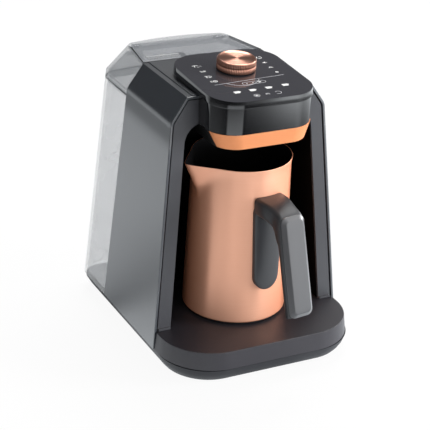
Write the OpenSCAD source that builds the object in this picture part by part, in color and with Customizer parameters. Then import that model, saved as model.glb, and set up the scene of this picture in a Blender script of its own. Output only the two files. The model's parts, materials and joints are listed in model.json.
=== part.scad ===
// Electric turkish coffee maker with a lift-off water tank and a pull-out pot.
// Front faces -Y, +X is to the right seen from the front, Z = 0 is the table.

/* [Body] */
// Width across the side walls at their bottom edge
body_w = 178.8; // [172:0.4:186]
// Inward lean of each side wall in degrees
body_lean = 5.05; // [4.6:0.05:5.4]
// Backward lean of the front in degrees
front_lean = 5.23; // [4.8:0.05:5.6]
// Place of the front plane at table level
front_y0 = -48.6; // [-50:0.1:-47]
// Height of the bottom edge of the side walls
shell_z = 15; // [14:0.5:15.5]
// Height where the sloping shoulders start
shoulder_z = 211; // [206:0.5:216]
// Height of the flat body top
top_z = 231.5; // [229:0.5:234]
// Width of the flat body top between its creases
top_w = 114.8; // [110:0.4:118]
// Back face of the body, where the tank begins
seam_y = 59; // [58.5:0.5:63]
// Wall of the outer shell
shell_t = 2.2; // [1.8:0.1:2.6]
// Outer bend radius between side wall and shoulder
bend_r = 11; // [8:0.5:13]
// Dark joint between the shell and the front frame
joint_w = 1; // [0.6:0.1:1.4]
// Thickness of the front frame
fascia_t = 2.6; // [2:0.1:3.2]

/* [Base] */
// Height of the rubber feet below the tray
foot_h = 2; // [1.5:0.1:3]
// Diameter of a rubber foot
foot_d = 16; // [12:0.5:18]
// Height of the platform top
deck_z = 30.6; // [29:0.2:32]
// How far the platform lies inside the side walls on each side
deck_in = 2.9; // [2.4:0.1:4.4]
// Front edge of the platform
deck_front_y = -99.3; // [-104:0.1:-98]
// Front corner radius of the platform
deck_r = 45; // [40:1:52]
// Outward slope of the platform wall from top to joint
deck_draft = 2; // [1:0.1:2.2]
// Wall of the platform
deck_t = 2.4; // [2:0.1:3]
// Wall of the base tray
tray_t = 2.2; // [1.8:0.1:2.8]
// How far the tray draws in from its joint to its bottom
tray_draw = 8; // [6:0.5:9]

/* [Niche] */
// Width of each column beside the niche at its foot
column_w = 16.8; // [15.4:0.2:19.4]
// Inward lean of each niche wall in degrees
niche_lean = 4.62; // [4.3:0.05:5]
// Height of the niche ceiling
niche_z = 208.4; // [206:0.4:210]
// Radius of the upper niche corners
niche_r = 18; // [12:0.5:22]
// Back wall of the niche
niche_y = 31.5; // [30:0.5:32.5]
// Radius of the upright niche corners
niche_back_r = 30; // [20:1:36]
// Wall of the niche liner
liner_t = 2; // [1.6:0.1:2.4]

/* [Head] */
// Width of the control panel
panel_w = 97; // [94:0.5:100]
// Length of the control panel
panel_l = 104.5; // [101:0.5:107]
// Corner radius of the control panel
panel_r = 26; // [20:0.5:30]
// Forward tilt of the control panel in degrees
panel_tilt = 2.9; // [2.5:0.1:3.1]
// Rear edge of the control panel
panel_y = 38.3; // [37.5:0.2:39.5]
// Height of the panel at its rear edge
panel_z = 242.2; // [242:0.2:244]
// Thickness of the panel frame
rim_t = 6.6; // [6:0.1:7]
// Thickness of the glass panel
glass_t = 1.6; // [1.2:0.1:2]
// Visible frame width round the glass
rim_w = 0.9; // [0.7:0.1:1.5]
// Step from the panel frame to the head housing
head_step = 1.2; // [0.8:0.1:2]
// Wall of the head housing
head_t = 2.2; // [1.8:0.1:2.8]
// Depth of the metal trim under the head housing
trim_h = 12.9; // [10:0.1:14]
// How far the metal trim narrows on each side
trim_draw = 5.2; // [3:0.1:6]
// Sheet thickness of the metal trim
trim_t = 1.2; // [1:0.1:1.6]
// Rear end of the metal trim
trim_back_y = 9.5; // [6:0.5:13]

/* [Knob] */
// Diameter of the control knob
knob_d = 33.2; // [28:0.2:36]
// Height of the control knob
knob_h = 9.4; // [8:0.2:12]
// Distance of the knob axis from the rear edge of the panel
knob_v = 39.2; // [36:0.2:42]
// Gap between the knob and the glass
knob_gap = 0.8; // [0.5:0.1:1.2]
// Diameter of the encoder shaft
shaft_d = 6; // [5:0.5:7]
// Radial running clearance of shafts and pins
run_fit = 0.06; // [0.04:0.01:0.09]

/* [Pot] */
// Distance of the pot axis behind the centre of the machine
pot_y = -20; // [-21.5:0.5:-18]
// Diameter of the pot at its base
pot_base_d = 90; // [84:0.5:92]
// Diameter of the pot at its rim
pot_rim_d = 84.2; // [80:0.2:88]
// Height of the pot
pot_h = 141.5; // [136:0.5:146]
// Wall of the pot
pot_t = 1.2; // [1:0.1:1.6]
// Height of the dark ring under the pot
pot_ring_h = 1.2; // [0.8:0.1:2]
// Reach of the pouring spout from the pot axis
spout_reach = 57; // [52:0.5:58]
// Turn of the pot handle to the right in degrees
pot_turn = 7; // [0:1:12]

/* [Handle] */
// Width of the handle
handle_w = 23; // [20:0.5:25]
// Height of the handle arm above the pot base
handle_top = 118; // [114:0.5:120]
// Lower end of the grip above the pot base
handle_low = 30.5; // [28:0.5:36]
// Lower end of the mount plate above the pot base
mount_low = 33; // [30:0.5:40]
// Distance from the pot axis to the top of the grip, without its insert
grip_r = 73.8; // [72:0.2:76]
// Outward lean of the grip in degrees
grip_lean = 16; // [13:0.5:17]
// Thickness of the grip behind its insert
grip_t = 8.6; // [7:0.2:10]
// Thickness of the grip insert
insert_t = 3.6; // [2.5:0.1:4.5]

/* [Tank] */
// Gap between the body and the tank
tank_gap = 0.5; // [0.4:0.1:0.8]
// Rear face of the tank
tank_rear_y = 118; // [115:0.5:120]
// Outward curve of the rear face of the tank
tank_bulge = 4.5; // [3:0.5:6]
// Rear corner radius of the tank
tank_r = 17; // [12:0.5:20]
// Wall of the tank
tank_t = 2.4; // [2:0.1:2.8]
// Height of the joint between tank and tank cover
cover_z = 205; // [200:0.5:207]
// Fall of the cover top towards the rear
cover_fall = 1.5; // [1:0.1:3]
// Width of the cover top at its rear
cover_back_w = 98; // [94:0.5:102]
// Thickness of the tank flap
flap_t = 2.2; // [1.8:0.1:2.6]
// Hinge axis of the tank flap
hinge_y = 110.5; // [108.5:0.5:111]
// Diameter of the hinge pins
hinge_d = 2.4; // [2:0.1:2.6]
// Place of the tank valve across the machine
valve_x = 30; // [20:1:40]
// Place of the tank valve behind the centre
valve_y = 88; // [84:1:92]
// Diameter of the valve nozzle
nozzle_d = 13; // [11:0.5:14]

/* [Pump] */
// Place of the pump across the machine
pump_x = -42; // [-46:1:-36]
// Diameter of the pump motor
motor_d = 18; // [16:0.5:19]
// Length of the pump motor
motor_h = 28; // [24:1:34]
// Outer diameter of the water hoses
hose_d = 6; // [5:0.5:6.5]
// Bore of the water hoses
hose_bore = 4; // [3:0.5:4]

/* [Hidden] */

$fn = 64;
eps = 0.01;
far = 400; // size of the blocks that cut whole regions away
seat = 0.1; // clearance between fixed pieces that are pushed together
lift = 0.3; // clearance under a piece that is lifted or pulled off
hull_fn = 40;

deck_w = body_w - 2 * deck_in; // width of the platform
niche_w = body_w - 2 * column_w; // width of the pot niche at the platform
side_slope = tan(body_lean);
shoulder_slope = (body_w / 2 - (shoulder_z - shell_z) * side_slope - top_w / 2) / (top_z - shoulder_z);
shoulder_x = body_w / 2 - (shoulder_z - shell_z) * side_slope;
base_joint_z = shell_z + 0.2; // the joint runs on from the bottom edge of the side walls
tray_front_y = deck_front_y - deck_draft + 0.3;
tray_w = deck_w + 2 * deck_draft - 0.6;
pot_z = deck_z + 0.4 + lift; // underside of the pot
plate_z = deck_z + 0.4; // top of the heater plate
plate_d = pot_base_d - 6;
pump_y = (niche_y + liner_t + seam_y - 2.5) / 2;
shelf_z = shell_z - 0.3; // top of the shelf under the tank
plate_top = top_z + 0.75; // top of the plate that closes the body
head_front_y = panel_y - panel_l * cos(panel_tilt) + head_step;
board_y = seam_y - 2.5 - 5;
frame_back = 0.7; // how far the front frame lies behind the edge of the shell
bead_h = 2.2; // height of the bead at the foot of each column
leads_x = 24; // way of the heater leads through the platform

// ---- small geometry helpers ----

function unit(v) = v / norm(v);
function side_x(z, in = 0) = body_w / 2 - (z - shell_z) * side_slope - in / cos(body_lean);
function shoulder_at(z, in = 0) =
    shoulder_x - (z - shoulder_z) * shoulder_slope - in * sqrt(1 + shoulder_slope * shoulder_slope);
function bend_z(in) = shoulder_z + in * (1 / cos(body_lean) - sqrt(1 + shoulder_slope * shoulder_slope))
    / (shoulder_slope - side_slope);
function front_at(z) = front_y0 + z * tan(front_lean);
function niche_x(z, out = 0) = niche_w / 2 - (z - deck_z) * tan(niche_lean) + out / cos(niche_lean);
function fillet_reach(p, a, b, r) = r / tan(acos(unit(a - p) * unit(b - p)) / 2);
function fillet_centre(p, a, b, r) =
    p + unit(unit(a - p) + unit(b - p)) * r / sin(acos(unit(a - p) * unit(b - p)) / 2);
function fillet_points(p, a, b, r, n = 8) =
    let(c = fillet_centre(p, a, b, r), reach = fillet_reach(p, a, b, r),
        from = p + unit(a - p) * reach - c, to = p + unit(b - p) * reach - c,
        turn = atan2(cross(from, to), from * to))
    [for (k = [0:n]) let(w = turn * k / n)
        c + [from.x * cos(w) - from.y * sin(w), from.x * sin(w) + from.y * cos(w)]];
function bezier(a, b, c, n) =
    [for (k = [0:n]) let(t = k / n) (1 - t) * (1 - t) * a + 2 * t * (1 - t) * b + t * t * c];
// A route through points with each inner corner rounded by about r
function soft_route(p, r, n = 5) = [
    p[0],
    for (i = [1:len(p) - 2]) each bezier(
        p[i] + unit(p[i - 1] - p[i]) * r, p[i], p[i] + unit(p[i + 1] - p[i]) * r, n),
    p[len(p) - 1]
];
function tangent(p, i) = unit(p[min(i + 1, len(p) - 1)] - p[max(i - 1, 0)]);
function square_to(v, t) = unit(v - (v * t) * t);

// What a rounding of radius r takes off the corner p between a and b
module corner_cut(p, a, b, r) {
    c = fillet_centre(p, a, b, r);
    reach = fillet_reach(p, a, b, r);
    difference() {
        polygon([c, p + unit(a - p) * reach, 2 * p - c, p + unit(b - p) * reach]);
        translate(c) circle(r);
    }
}

// Rounded rectangle, centred in X and running from y = -l to 0
module rounded(w, l, r) {
    translate([-w / 2 + r, -l]) square([w - 2 * r, l]);
    translate([-w / 2, -l + r]) square([w, l - 2 * r]);
    for (x = [-w / 2 + r, w / 2 - r], y = [-l + r, -r]) translate([x, y]) circle(r);
}

// Extrudes an XZ outline along Y from y0 to y1
module along_y(y0, y1) translate([0, y1, 0]) rotate([90, 0, 0]) linear_extrude(y1 - y0) children();

// Cross-section of the body, drawn in by "in"
module body_outline(in = 0, low = shell_z) {
    z = bend_z(in);
    low_p = [side_x(low, in), low];
    bend = [side_x(z, in), z];
    crease = [shoulder_at(top_z - in, in), top_z - in];
    half = [low_p, each fillet_points(bend, low_p, crease, bend_r - in), crease];
    polygon([each half, for (k = [len(half) - 1:-1:0]) [-half[k].x, half[k].y]]);
}

// Everything behind the leaning front plane, moved back by "in"
module behind_front(in = 0)
    translate([0, front_y0, 0]) rotate([-front_lean, 0, 0])
        translate([-far / 2, in, -far / 4]) cube([far, far, far]);

// Arch of the niche, enlarged by "out"
module niche_outline(out = 0, low = deck_z) {
    z = niche_z + out;
    foot = [niche_x(low, out), low];
    top = [niche_x(z, out), z];
    difference() {
        polygon([foot, top, [-top.x, top.y], [-foot.x, foot.y]]);
        for (s = [1, -1]) corner_cut([s * top.x, top.y], [s * foot.x, foot.y], [-s * top.x, top.y],
            niche_r + out);
    }
}

// Space of the pot niche, enlarged by "out"
module niche_space(out = 0, low = deck_z) intersection() {
    along_y(-far / 4, niche_y + out) niche_outline(out, low);
    translate([0, niche_y + out, low - 1]) linear_extrude(far)
        rounded(niche_w + 2 * out + 20, far / 2, niche_back_r + out + 10);
}

// Frame of the tilted panel: origin on its rear edge, -Y along it to the front, +Z out of it
module on_panel() translate([0, panel_y, panel_z]) rotate([panel_tilt, 0, 0]) children();

// Head outline, drawn in by "in", as an upright prism
module head_prism(in, z0, z1)
    translate([0, panel_y - head_step - in, z0]) linear_extrude(z1 - z0)
        rounded(panel_w - 2 * (head_step + in), panel_y - head_front_y - 2 * in - head_step,
            panel_r - head_step - in);

// Everything under the panel frame
module under_panel() on_panel() translate([-far / 2, -far / 2, -rim_t - far]) cube([far, far, far]);

// Round-cornered outline whose edge follows a side profile; the profile gives [inset, height]
module profiled(w, y0, y1, r0, r1, profile) {
    module edge(r) polygon(concat([[0, profile[0][1]]], [for (p = profile) [r - p[0], p[1]]],
        [[0, profile[len(profile) - 1][1]]]));
    for (s = [1, -1]) {
        translate([s * (w / 2 - r0), y0 + r0, 0]) rotate_extrude() edge(r0);
        translate([s * (w / 2 - r1), y1 - r1, 0]) rotate_extrude() edge(r1);
        // long side
        translate([s * (w / 2 - r0), y1 - r1, 0]) rotate([90, 0, 0])
            linear_extrude(y1 - r1 - y0 - r0) mirror([(1 - s) / 2, 0]) edge(r0);
    }
    // front, rear and middle
    translate([-(w / 2 - r0), y0 + r0, 0]) rotate([90, 0, 90]) linear_extrude(w - 2 * r0)
        mirror([1, 0]) edge(r0);
    translate([-(w / 2 - r1), y1 - r1, 0]) rotate([90, 0, 90]) linear_extrude(w - 2 * r1) edge(r1);
    h0 = profile[0][1];
    h1 = profile[len(profile) - 1][1];
    translate([-(w / 2 - r0), y0 + r0, h0]) cube([w - 2 * r0, y1 - r1 - y0 - r0, h1 - h0]);
}

// Round hose or lead along a route, as a swept polygon
module swept(route, d, sides = 10) {
    n = len(route);
    t0 = tangent(route, 0);
    seed = abs(t0.z) < 0.9 ? [0, 0, 1] : [0, 1, 0];
    normals = [for (i = 0, v = square_to(seed, t0); i < n;
        i = i + 1, v = i < n ? square_to(v, tangent(route, i)) : v) v];
    points = [for (i = [0:n - 1]) let(t = tangent(route, i), u = normals[i], w = cross(t, u))
        for (k = [0:sides - 1]) route[i] + (u * cos(360 * k / sides) + w * sin(360 * k / sides)) * d / 2];
    faces = concat(
        [[for (k = [0:sides - 1]) k]],
        [for (i = [0:n - 2], k = [0:sides - 1]) let(a = i * sides + k, b = i * sides + (k + 1) % sides)
            each [[a, a + sides, b + sides], [a, b + sides, b]]],
        [[for (k = [sides - 1:-1:0]) (n - 1) * sides + k]]);
    polyhedron(points, faces, convexity = 6);
}

module hose(route) difference() {
    swept(route, hose_d, 12);
    swept([route[0] - tangent(route, 0), each [for (i = [1:len(route) - 2]) route[i]],
        route[len(route) - 1] + tangent(route, len(route) - 1)], hose_bore, 12);
}

// Pan-head screw, head down at z = 0
module screw(d, length, head_d, head_h) {
    difference() {
        cylinder(d = head_d, h = head_h);
        for (a = [0, 90]) rotate(a) translate([-head_d * 0.3, -0.4, -1]) cube([head_d * 0.6, 0.8, 1.8]);
    }
    translate([0, 0, head_h - eps]) cylinder(d = d, h = length + eps);
}

// ---- base ----

screw_in = 14.5; // distance of the outer base screws from the edge of the platform
foot_in = 26.5; // distance of the rubber feet from the edge of the platform
base_screw_at = [for (s = [-1, 1], y = [-38, 42]) [s * (deck_w / 2 - screw_in), y], [0, deck_front_y + 15]];
foot_at = [for (s = [-1, 1], y = [-68, 96]) [s * (deck_w / 2 - foot_in), y]];
gland_x = -55;
gland_z = 8;
tray_joint_z = base_joint_z - 0.4;
rear_rim_z = shelf_z - 2.4;
tray_back_y = tank_rear_y - 1.5;
gland_in = tray_draw + tray_t + 0.4;
screw_d = 3;
screw_head_z = foot_h + 1.2;

function tray_profile(in) = [
    [tray_draw + in, foot_h], [tray_draw * 0.8 + in, foot_h + 1], [tray_draw * 0.52 + in, foot_h + 3.6],
    [tray_draw * 0.22 + in, foot_h + 7.6], [in, tray_joint_z]
];

module base_tray() color("#3a3a3d") {
    cut = tray_t + 0.3;
    difference() {
        profiled(tray_w, tray_front_y, tray_back_y, deck_r - 1, tank_r, tray_profile(0));
        translate([0, 0, tray_t]) profiled(tray_w, tray_front_y, tray_back_y, deck_r - 1, tank_r,
            tray_profile(cut));
        // the wall under the tank is lower
        translate([-far / 2, seam_y - 2.5, rear_rim_z]) cube([far, far, far]);
        for (p = foot_at) translate([p.x, p.y, foot_h - 1]) cylinder(d = foot_d + 2 * seat, h = 1 + 1.1);
        for (p = base_screw_at) translate([p.x, p.y, foot_h - 1]) cylinder(d = 7, h = 1 + 3.4);
        translate([gland_x, tray_back_y + 5, gland_z]) rotate([90, 0, 0]) cylinder(r = 3.6, h = 20);
        for (x = [-34:4:34]) translate([x - 1, pot_y + 50, foot_h - 1]) cube([2, 22, tray_t + 2]);
    }
    for (p = base_screw_at) translate([p.x, p.y, 0]) difference() {
        translate([0, 0, foot_h + tray_t - eps]) cylinder(d = 9, h = base_joint_z - foot_h - tray_t - 0.2);
        translate([0, 0, foot_h - 1]) cylinder(d = 7, h = 1 + 3.4);
        cylinder(d = screw_d + 0.4, h = far / 8);
    }
}

module rubber_feet() color("#1c1c1c")
    for (p = foot_at) translate([p.x, p.y, 0]) rotate_extrude()
        polygon([[0, 0], [foot_d / 2 - 1, 0], [foot_d / 2, 0.8], [foot_d / 2, foot_h + 1],
            [0, foot_h + 1]]);

module base_screws() color("#8c8c90")
    for (p = base_screw_at) translate([p.x, p.y, screw_head_z]) screw(screw_d, 18, 5.8, 2.1);

// Platform that carries the pot, the heater and the niche
module base_deck() color("#3c3b3e") {
    inner_w = 2 * side_x(deck_z, shell_t + 0.3);
    back_y = seam_y - 2.5 - seat;
    w = deck_w + 2 * deck_draft;
    edge = 0.6; // rounded upper edge
    difference() {
        intersection() {
            profiled(w, deck_front_y - deck_draft, back_y + deck_draft, deck_r + deck_draft, 8,
                [[0, base_joint_z], [deck_draft, deck_z - edge], [deck_draft + 0.2, deck_z - edge / 3],
                [deck_draft + edge, deck_z]]);
            union() {
                translate([-far / 2, -far, 0]) cube([far, far + front_at(base_joint_z) - 0.3, far]);
                translate([-inner_w / 2, -far + back_y, 0]) cube([inner_w, far, far]);
            }
        }
        difference() {
            translate([0, back_y - deck_t, base_joint_z - 1]) linear_extrude(deck_z - deck_t - base_joint_z + 1) {
                rounded(inner_w - 2 * deck_t, back_y - deck_front_y - 2 * deck_t, deck_r - deck_t);
                translate([-inner_w / 2 + deck_t, -40]) square([inner_w - 2 * deck_t, 40]);
            }
            for (p = base_screw_at) translate([p.x, p.y, 0]) cylinder(d = 9, h = far);
            for (x = bracket_at) translate([x, pot_y, heater_bracket_z + 1.6]) cylinder(d = 7, h = far);
        }
        for (p = base_screw_at) translate([p.x, p.y, 0]) cylinder(d = screw_d + 0.1, h = deck_z - deck_t - 2);
        for (x = bracket_at) translate([x, pot_y, 0]) cylinder(d = 2.6, h = deck_z - deck_t - 1);
        translate([0, pot_y, 0]) cylinder(d = plate_d + 2.4, h = far);
        translate([pump_x, pump_y, 0]) cylinder(d = hose_d + 1, h = far);
        translate([leads_x, pump_y, 0]) cylinder(d = 12, h = far);
    }
}

// Shelf under the tank, with the outlet socket let into it
module tank_shelf() color("#343437") {
    y0 = seam_y - 2.4;
    difference() {
        translate([0, tray_back_y, rear_rim_z + seat]) linear_extrude(shelf_z - rear_rim_z - seat)
            union() {
                rounded(tray_w, tray_back_y - y0, tank_r);
                translate([-tray_w / 2, -(tray_back_y - y0)]) square([tray_w, 30]);
            }
        translate([valve_x, valve_y, 0]) cylinder(d = nozzle_d + 5 + 2 * seat, h = far);
    }
}

// ---- outer body ----

module outer_shell() color("#5b5c60") {
    back = seam_y - 0.2;
    open_w = top_w - 18;
    difference() {
        intersection() {
            along_y(-60, back) body_outline();
            behind_front();
        }
        along_y(-80, far / 2) body_outline(shell_t, shell_z - 1);
        translate([-open_w / 2, front_at(top_z) + 5, top_z - 10]) cube([open_w, back - front_at(top_z) - 10, 20]);
    }
    // ribs beside the opening
    for (s = [1, -1]) translate([s * (open_w / 2 + 2) - 1, front_at(top_z) + 5, top_z - shell_t - 1.6])
        cube([2, back - front_at(top_z) - 12, 1.7]);
}

module top_plate() color("#58595d") {
    w = top_w - 9;
    y0 = front_at(top_z) + 1.2;
    y1 = seam_y - 1;
    difference() {
        along_y(y0, y1) polygon([[-w / 2, top_z + 0.05], [-w / 2 + 0.8, plate_top], [w / 2 - 0.8, plate_top],
            [w / 2, top_z + 0.05]]);
        translate([-36, y0 + 4, top_z - 1]) cube([72, panel_y - 12 - y0, 10]);
    }
    // lip that locates the plate in the shell's opening
    for (s = [1, -1]) translate([s * (top_w / 2 - 10) - 0.8, y0 + 6, top_z - 4])
        cube([1.6, y1 - y0 - 14, 4.2]);
}

// Frame round the niche, set back from the shell's edge by a dark joint
module front_frame() color("#4b4b4e") {
    difference() {
        intersection() {
            along_y(-70, 0) difference() {
                body_outline(shell_t + joint_w, deck_z + seat);
                niche_outline(0, deck_z - 5);
            }
            behind_front(frame_back);
        }
        behind_front(frame_back + fascia_t);
        // way for the leads and the hose into the head
        along_y(-80, 10) translate([-trim_w / 2 + 9, niche_z + 5]) square([trim_w - 18, top_z - niche_z - 12]);
    }
    // bead at the foot of each column
    intersection() {
        difference() {
            along_y(-70, 0) intersection() {
                difference() {
                    body_outline(shell_t + joint_w + 0.6, deck_z + seat);
                    niche_outline(0.6, deck_z - 5);
                }
                translate([-far / 2, deck_z]) square([far, bead_h]);
            }
            behind_front(frame_back + 1);
        }
        behind_front(frame_back - 1.6);
    }
}

module niche_liner() color("#151517") difference() {
    niche_space(liner_t, deck_z + seat);
    niche_space(0, deck_z - 5);
    difference() {
        translate([-far / 2, -far, 0]) cube([far, far * 1.5, far]);
        behind_front(frame_back + fascia_t + seat);
    }
    // way for the nozzle and the sensor
    translate([0, nozzle_y, niche_z - 5]) cylinder(d = 12, h = 20);
    translate([16, nozzle_y, niche_z - 5]) cylinder(d = 9, h = 20);
}

module rear_panel() color("#2c2c2f") {
    y0 = seam_y - 2.5;
    difference() {
        along_y(y0, seam_y - 0.1) body_outline(shell_t + 0.1, shell_z - 0.2);
        translate([valve_x - 30, y0 - 1, shell_z - 1]) cube([8, 5, 6]);
    }
    for (x = [board_x0 + 4, board_x1 - 4], z = [board_z0 + 4, board_z1 - 4])
        translate([x, y0 + 0.1, z]) rotate([90, 0, 0]) difference() {
            cylinder(d = 6, h = y0 - board_y - 1.6 + 0.1);
            translate([0, 0, 1]) cylinder(d = 2.6, h = 20);
        }
}

// ---- heater ----

heater_bracket_z = 17;
bracket_at = [-plate_d / 2 - 9, plate_d / 2 + 9];

module heater_plate() color("#2b2b2d") translate([0, pot_y, 0]) rotate_extrude()
    polygon([[0, deck_z - deck_t - 2.6], [plate_d / 2 + 4, deck_z - deck_t - 2.6],
        [plate_d / 2 + 4, deck_z - deck_t - 0.1], [plate_d / 2, deck_z - deck_t - 0.1],
        [plate_d / 2, plate_z - 0.5], [plate_d / 2 - 0.5, plate_z], [0, plate_z]]);

module heater_seal() color("#202020") translate([0, pot_y, deck_z - deck_t]) difference() {
    cylinder(d = plate_d + 2.2, h = deck_t - 0.1);
    translate([0, 0, -1]) cylinder(d = plate_d + 0.2, h = deck_t + 2);
}

element_r = 27;
element_z = deck_z - deck_t - 2.6 - 3.3; // it lies under the heater plate
element_pin_z = element_z - 11;

// Tube bent to an open ring, with both ends turned down to their terminals
module heating_element() color("#9a9488") translate([0, pot_y, 0]) {
    ends = [-60, 240];
    swept(concat([[element_r * cos(ends[0]), element_r * sin(ends[0]), element_z - 6]],
        [for (k = [0:22]) let(a = ends[0] + 300 * k / 22) [element_r * cos(a), element_r * sin(a), element_z]],
        [[element_r * cos(ends[1]), element_r * sin(ends[1]), element_z - 6]]), 6.2, 10);
    for (a = ends) rotate(a) translate([element_r, 0, element_pin_z]) cylinder(d = 2, h = element_z - element_pin_z - 5);
}

module heater_bracket() color("#b4b4b0") difference() {
    translate([bracket_at[0] - 4.5, pot_y - 7, heater_bracket_z]) cube([bracket_at[1] - bracket_at[0] + 9, 14, 1.5]);
    for (x = bracket_at) translate([x, pot_y, 0]) cylinder(d = 3.4, h = 60);
    translate([0, pot_y, 0]) cylinder(d = 5, h = 60);
    // the element lies across the bracket
    for (s = [-1, 1]) translate([s * element_r - 4.4, pot_y - 8, heater_bracket_z + 1]) cube([8.8, 16, 2]);
}

module heater_screws() color("#8c8c90")
    for (x = bracket_at) translate([x, pot_y, heater_bracket_z - 2]) screw(2.5, 9, 5, 2);

module temperature_sensor() color("#c8b070") translate([0, pot_y, 0]) {
    translate([0, 0, heater_bracket_z + 1.5]) cylinder(d = 9, h = deck_z - deck_t - 2.6 - heater_bracket_z - 1.6);
    translate([0, 0, heater_bracket_z - 5]) cylinder(d = 4.6, h = 6.6);
}

// ---- head ----

nozzle_y = pot_y + 4;
trim_w = panel_w - 2 * head_step;
neck_in = head_t - 0.6; // the rear part of the head is drawn in under the frame

module head_housing() color("#1a1a1c") difference() {
    intersection() {
        difference() {
            head_prism(0, niche_z - 0.1, far);
            behind_front(0.4);
        }
        under_panel();
    }
    head_prism(head_t, niche_z - 5, far);
    behind_front_low();
}

// The body itself, which the head housing sits on
module behind_front_low() intersection() {
    behind_front(-seat);
    translate([-far / 2, -far / 2, 0]) cube([far, far, plate_top + seat / 2]);
}

module trim_shape(in, extra = 0) {
    front = head_front_y + 0.3;
    hull() for (k = [0, 1]) translate([0, trim_back_y - in - k * 3, niche_z - 0.2 - k * trim_h - k * extra])
        linear_extrude(0.1 + (1 - k) * extra)
            rounded(trim_w - 2 * (in + k * trim_draw), trim_back_y - front - 2 * in - k * 4,
                23 - in - k * 3, $fn = hull_fn);
}

module metal_trim() color("#e8a67c") difference() {
    trim_shape(0);
    trim_shape(trim_t, 0.3);
    // inside the niche it stays clear of the rounded ceiling
    difference() {
        behind_front(frame_back - seat);
        niche_space(-seat, deck_z);
    }
}

module splash_plate() color("#141416") {
    z = niche_z - trim_h + 2.4;
    w = trim_w - 2 * (trim_t + trim_draw) - 1.4;
    difference() {
        union() {
            translate([0, trim_back_y - 6.2, z]) linear_extrude(2)
                rounded(w, trim_back_y - head_front_y - 13, 18);
            for (s = [1, -1], y = [head_front_y + 14, front_at(niche_z) - 6]) translate([s * 30, y, z + 1])
                cylinder(d = 5, h = niche_z - z - 1.2);
            for (s = [1, -1]) translate([s * 30, trim_back_y - 14, z + 1]) cylinder(d = 5, h = niche_z - z - 1.2);
        }
        translate([0, nozzle_y, 0]) cylinder(d = 8 + 2 * seat, h = far);
        translate([16, nozzle_y, 0]) cylinder(d = 7 + 2 * seat, h = far);
    }
}

module panel_frame() color("#1f1f22") {
    on_panel() difference() {
        translate([0, 0, -rim_t]) linear_extrude(rim_t) rounded(panel_w, panel_l, panel_r);
        translate([0, -rim_w, -glass_t]) linear_extrude(far)
            rounded(panel_w - 2 * rim_w, panel_l - 2 * rim_w, panel_r - rim_w);
        translate([0, -4, -rim_t - 1]) linear_extrude(far)
            rounded(panel_w - 8, panel_l - 8, panel_r - 4);
    }
    // drawn-in neck between the frame and the top plate
    difference() {
        intersection() {
            head_prism(neck_in, plate_top + seat / 2, far);
            translate([0, 0, 0.1]) under_panel();
            translate([-far / 2, front_at(top_z) + 8, 0]) cube([far, far, far]);
        }
        head_prism(head_t + neck_in, plate_top - 5, far);
    }
}

module glass_panel() color("#4b4b4e") on_panel() difference() {
    translate([0, -rim_w - 0.1, -glass_t + 0.02]) linear_extrude(glass_t - 0.02)
        rounded(panel_w - 2 * rim_w - 0.2, panel_l - 2 * rim_w - 0.2, panel_r - rim_w - 0.1);
    translate([0, -knob_v, -5]) cylinder(d = shaft_d + 3, h = 10);
}

module touch_board() color("#1d5a3a") on_panel() difference() {
    translate([0, -4.3, -glass_t - 1.1]) linear_extrude(1) rounded(panel_w - 8.6, panel_l - 8.6, panel_r - 4.3);
    translate([0, -knob_v, -5]) cylinder(d = 14, h = 10);
}

board_depth = 13;
module control_board() color("#1f6b42") on_panel() {
    translate([-28, -62, -board_depth]) cube([56, 48, 1.6]);
    for (x = [-24, 24], y = [-58, -18]) translate([x, y, -board_depth + 1.59])
        cylinder(d = 3.4, h = board_depth - 1.6 - glass_t - 1.1 - 0.1);
}

module encoder() color("#9b9ba0") on_panel() translate([0, -knob_v, 0]) difference() {
    union() {
        translate([-6, -6, -board_depth + 1.7]) cube([12, 12, 5]);
        translate([0, 0, -board_depth + 6.6]) cylinder(d = shaft_d + 2, h = board_depth - 6.6 - glass_t + 1);
    }
    translate([0, 0, -board_depth + 3]) cylinder(d = shaft_d + 2 * run_fit, h = 40);
}

module buzzer() color("#202022") on_panel() translate([18, -30, -board_depth + 1.7]) difference() {
    cylinder(d = 9, h = 4.5);
    translate([0, 0, 3]) cylinder(d = 1.6, h = 5);
}

module foam_sensor() color("#26262a") translate([16, nozzle_y, niche_z - trim_h + 1.6]) {
    cylinder(d = 7, h = 18);
    translate([0, 0, 17]) cylinder(d = 11, h = 1.6);
}

nozzle_top = niche_z + liner_t + 4;
module water_nozzle() color("#d8d8d8") translate([0, nozzle_y, 0]) difference() {
    union() {
        translate([0, 0, niche_z - trim_h + 0.4]) cylinder(d = 8, h = nozzle_top - niche_z + trim_h - 0.4);
        translate([0, 0, niche_z + liner_t + 0.1]) cylinder(d = 15, h = 1.6);
    }
    translate([0, 0, 100]) cylinder(d = 3, h = 200);
}

// ---- water side ----

pump_z = deck_z + 2.2;
spigot_d = hose_bore - 0.3; // a hose is drawn with flat sides
head_h = 14;
module pump_bracket() color("#77777a") difference() {
    translate([pump_x - 16, pump_y - 10, deck_z + 0.1]) cube([32, 20, 2]);
    translate([pump_x, pump_y, 0]) cylinder(d = hose_d + 1, h = far);
    for (x = [-13, 13]) translate([pump_x + x, pump_y, 0]) cylinder(d = 3, h = far);
}

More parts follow.
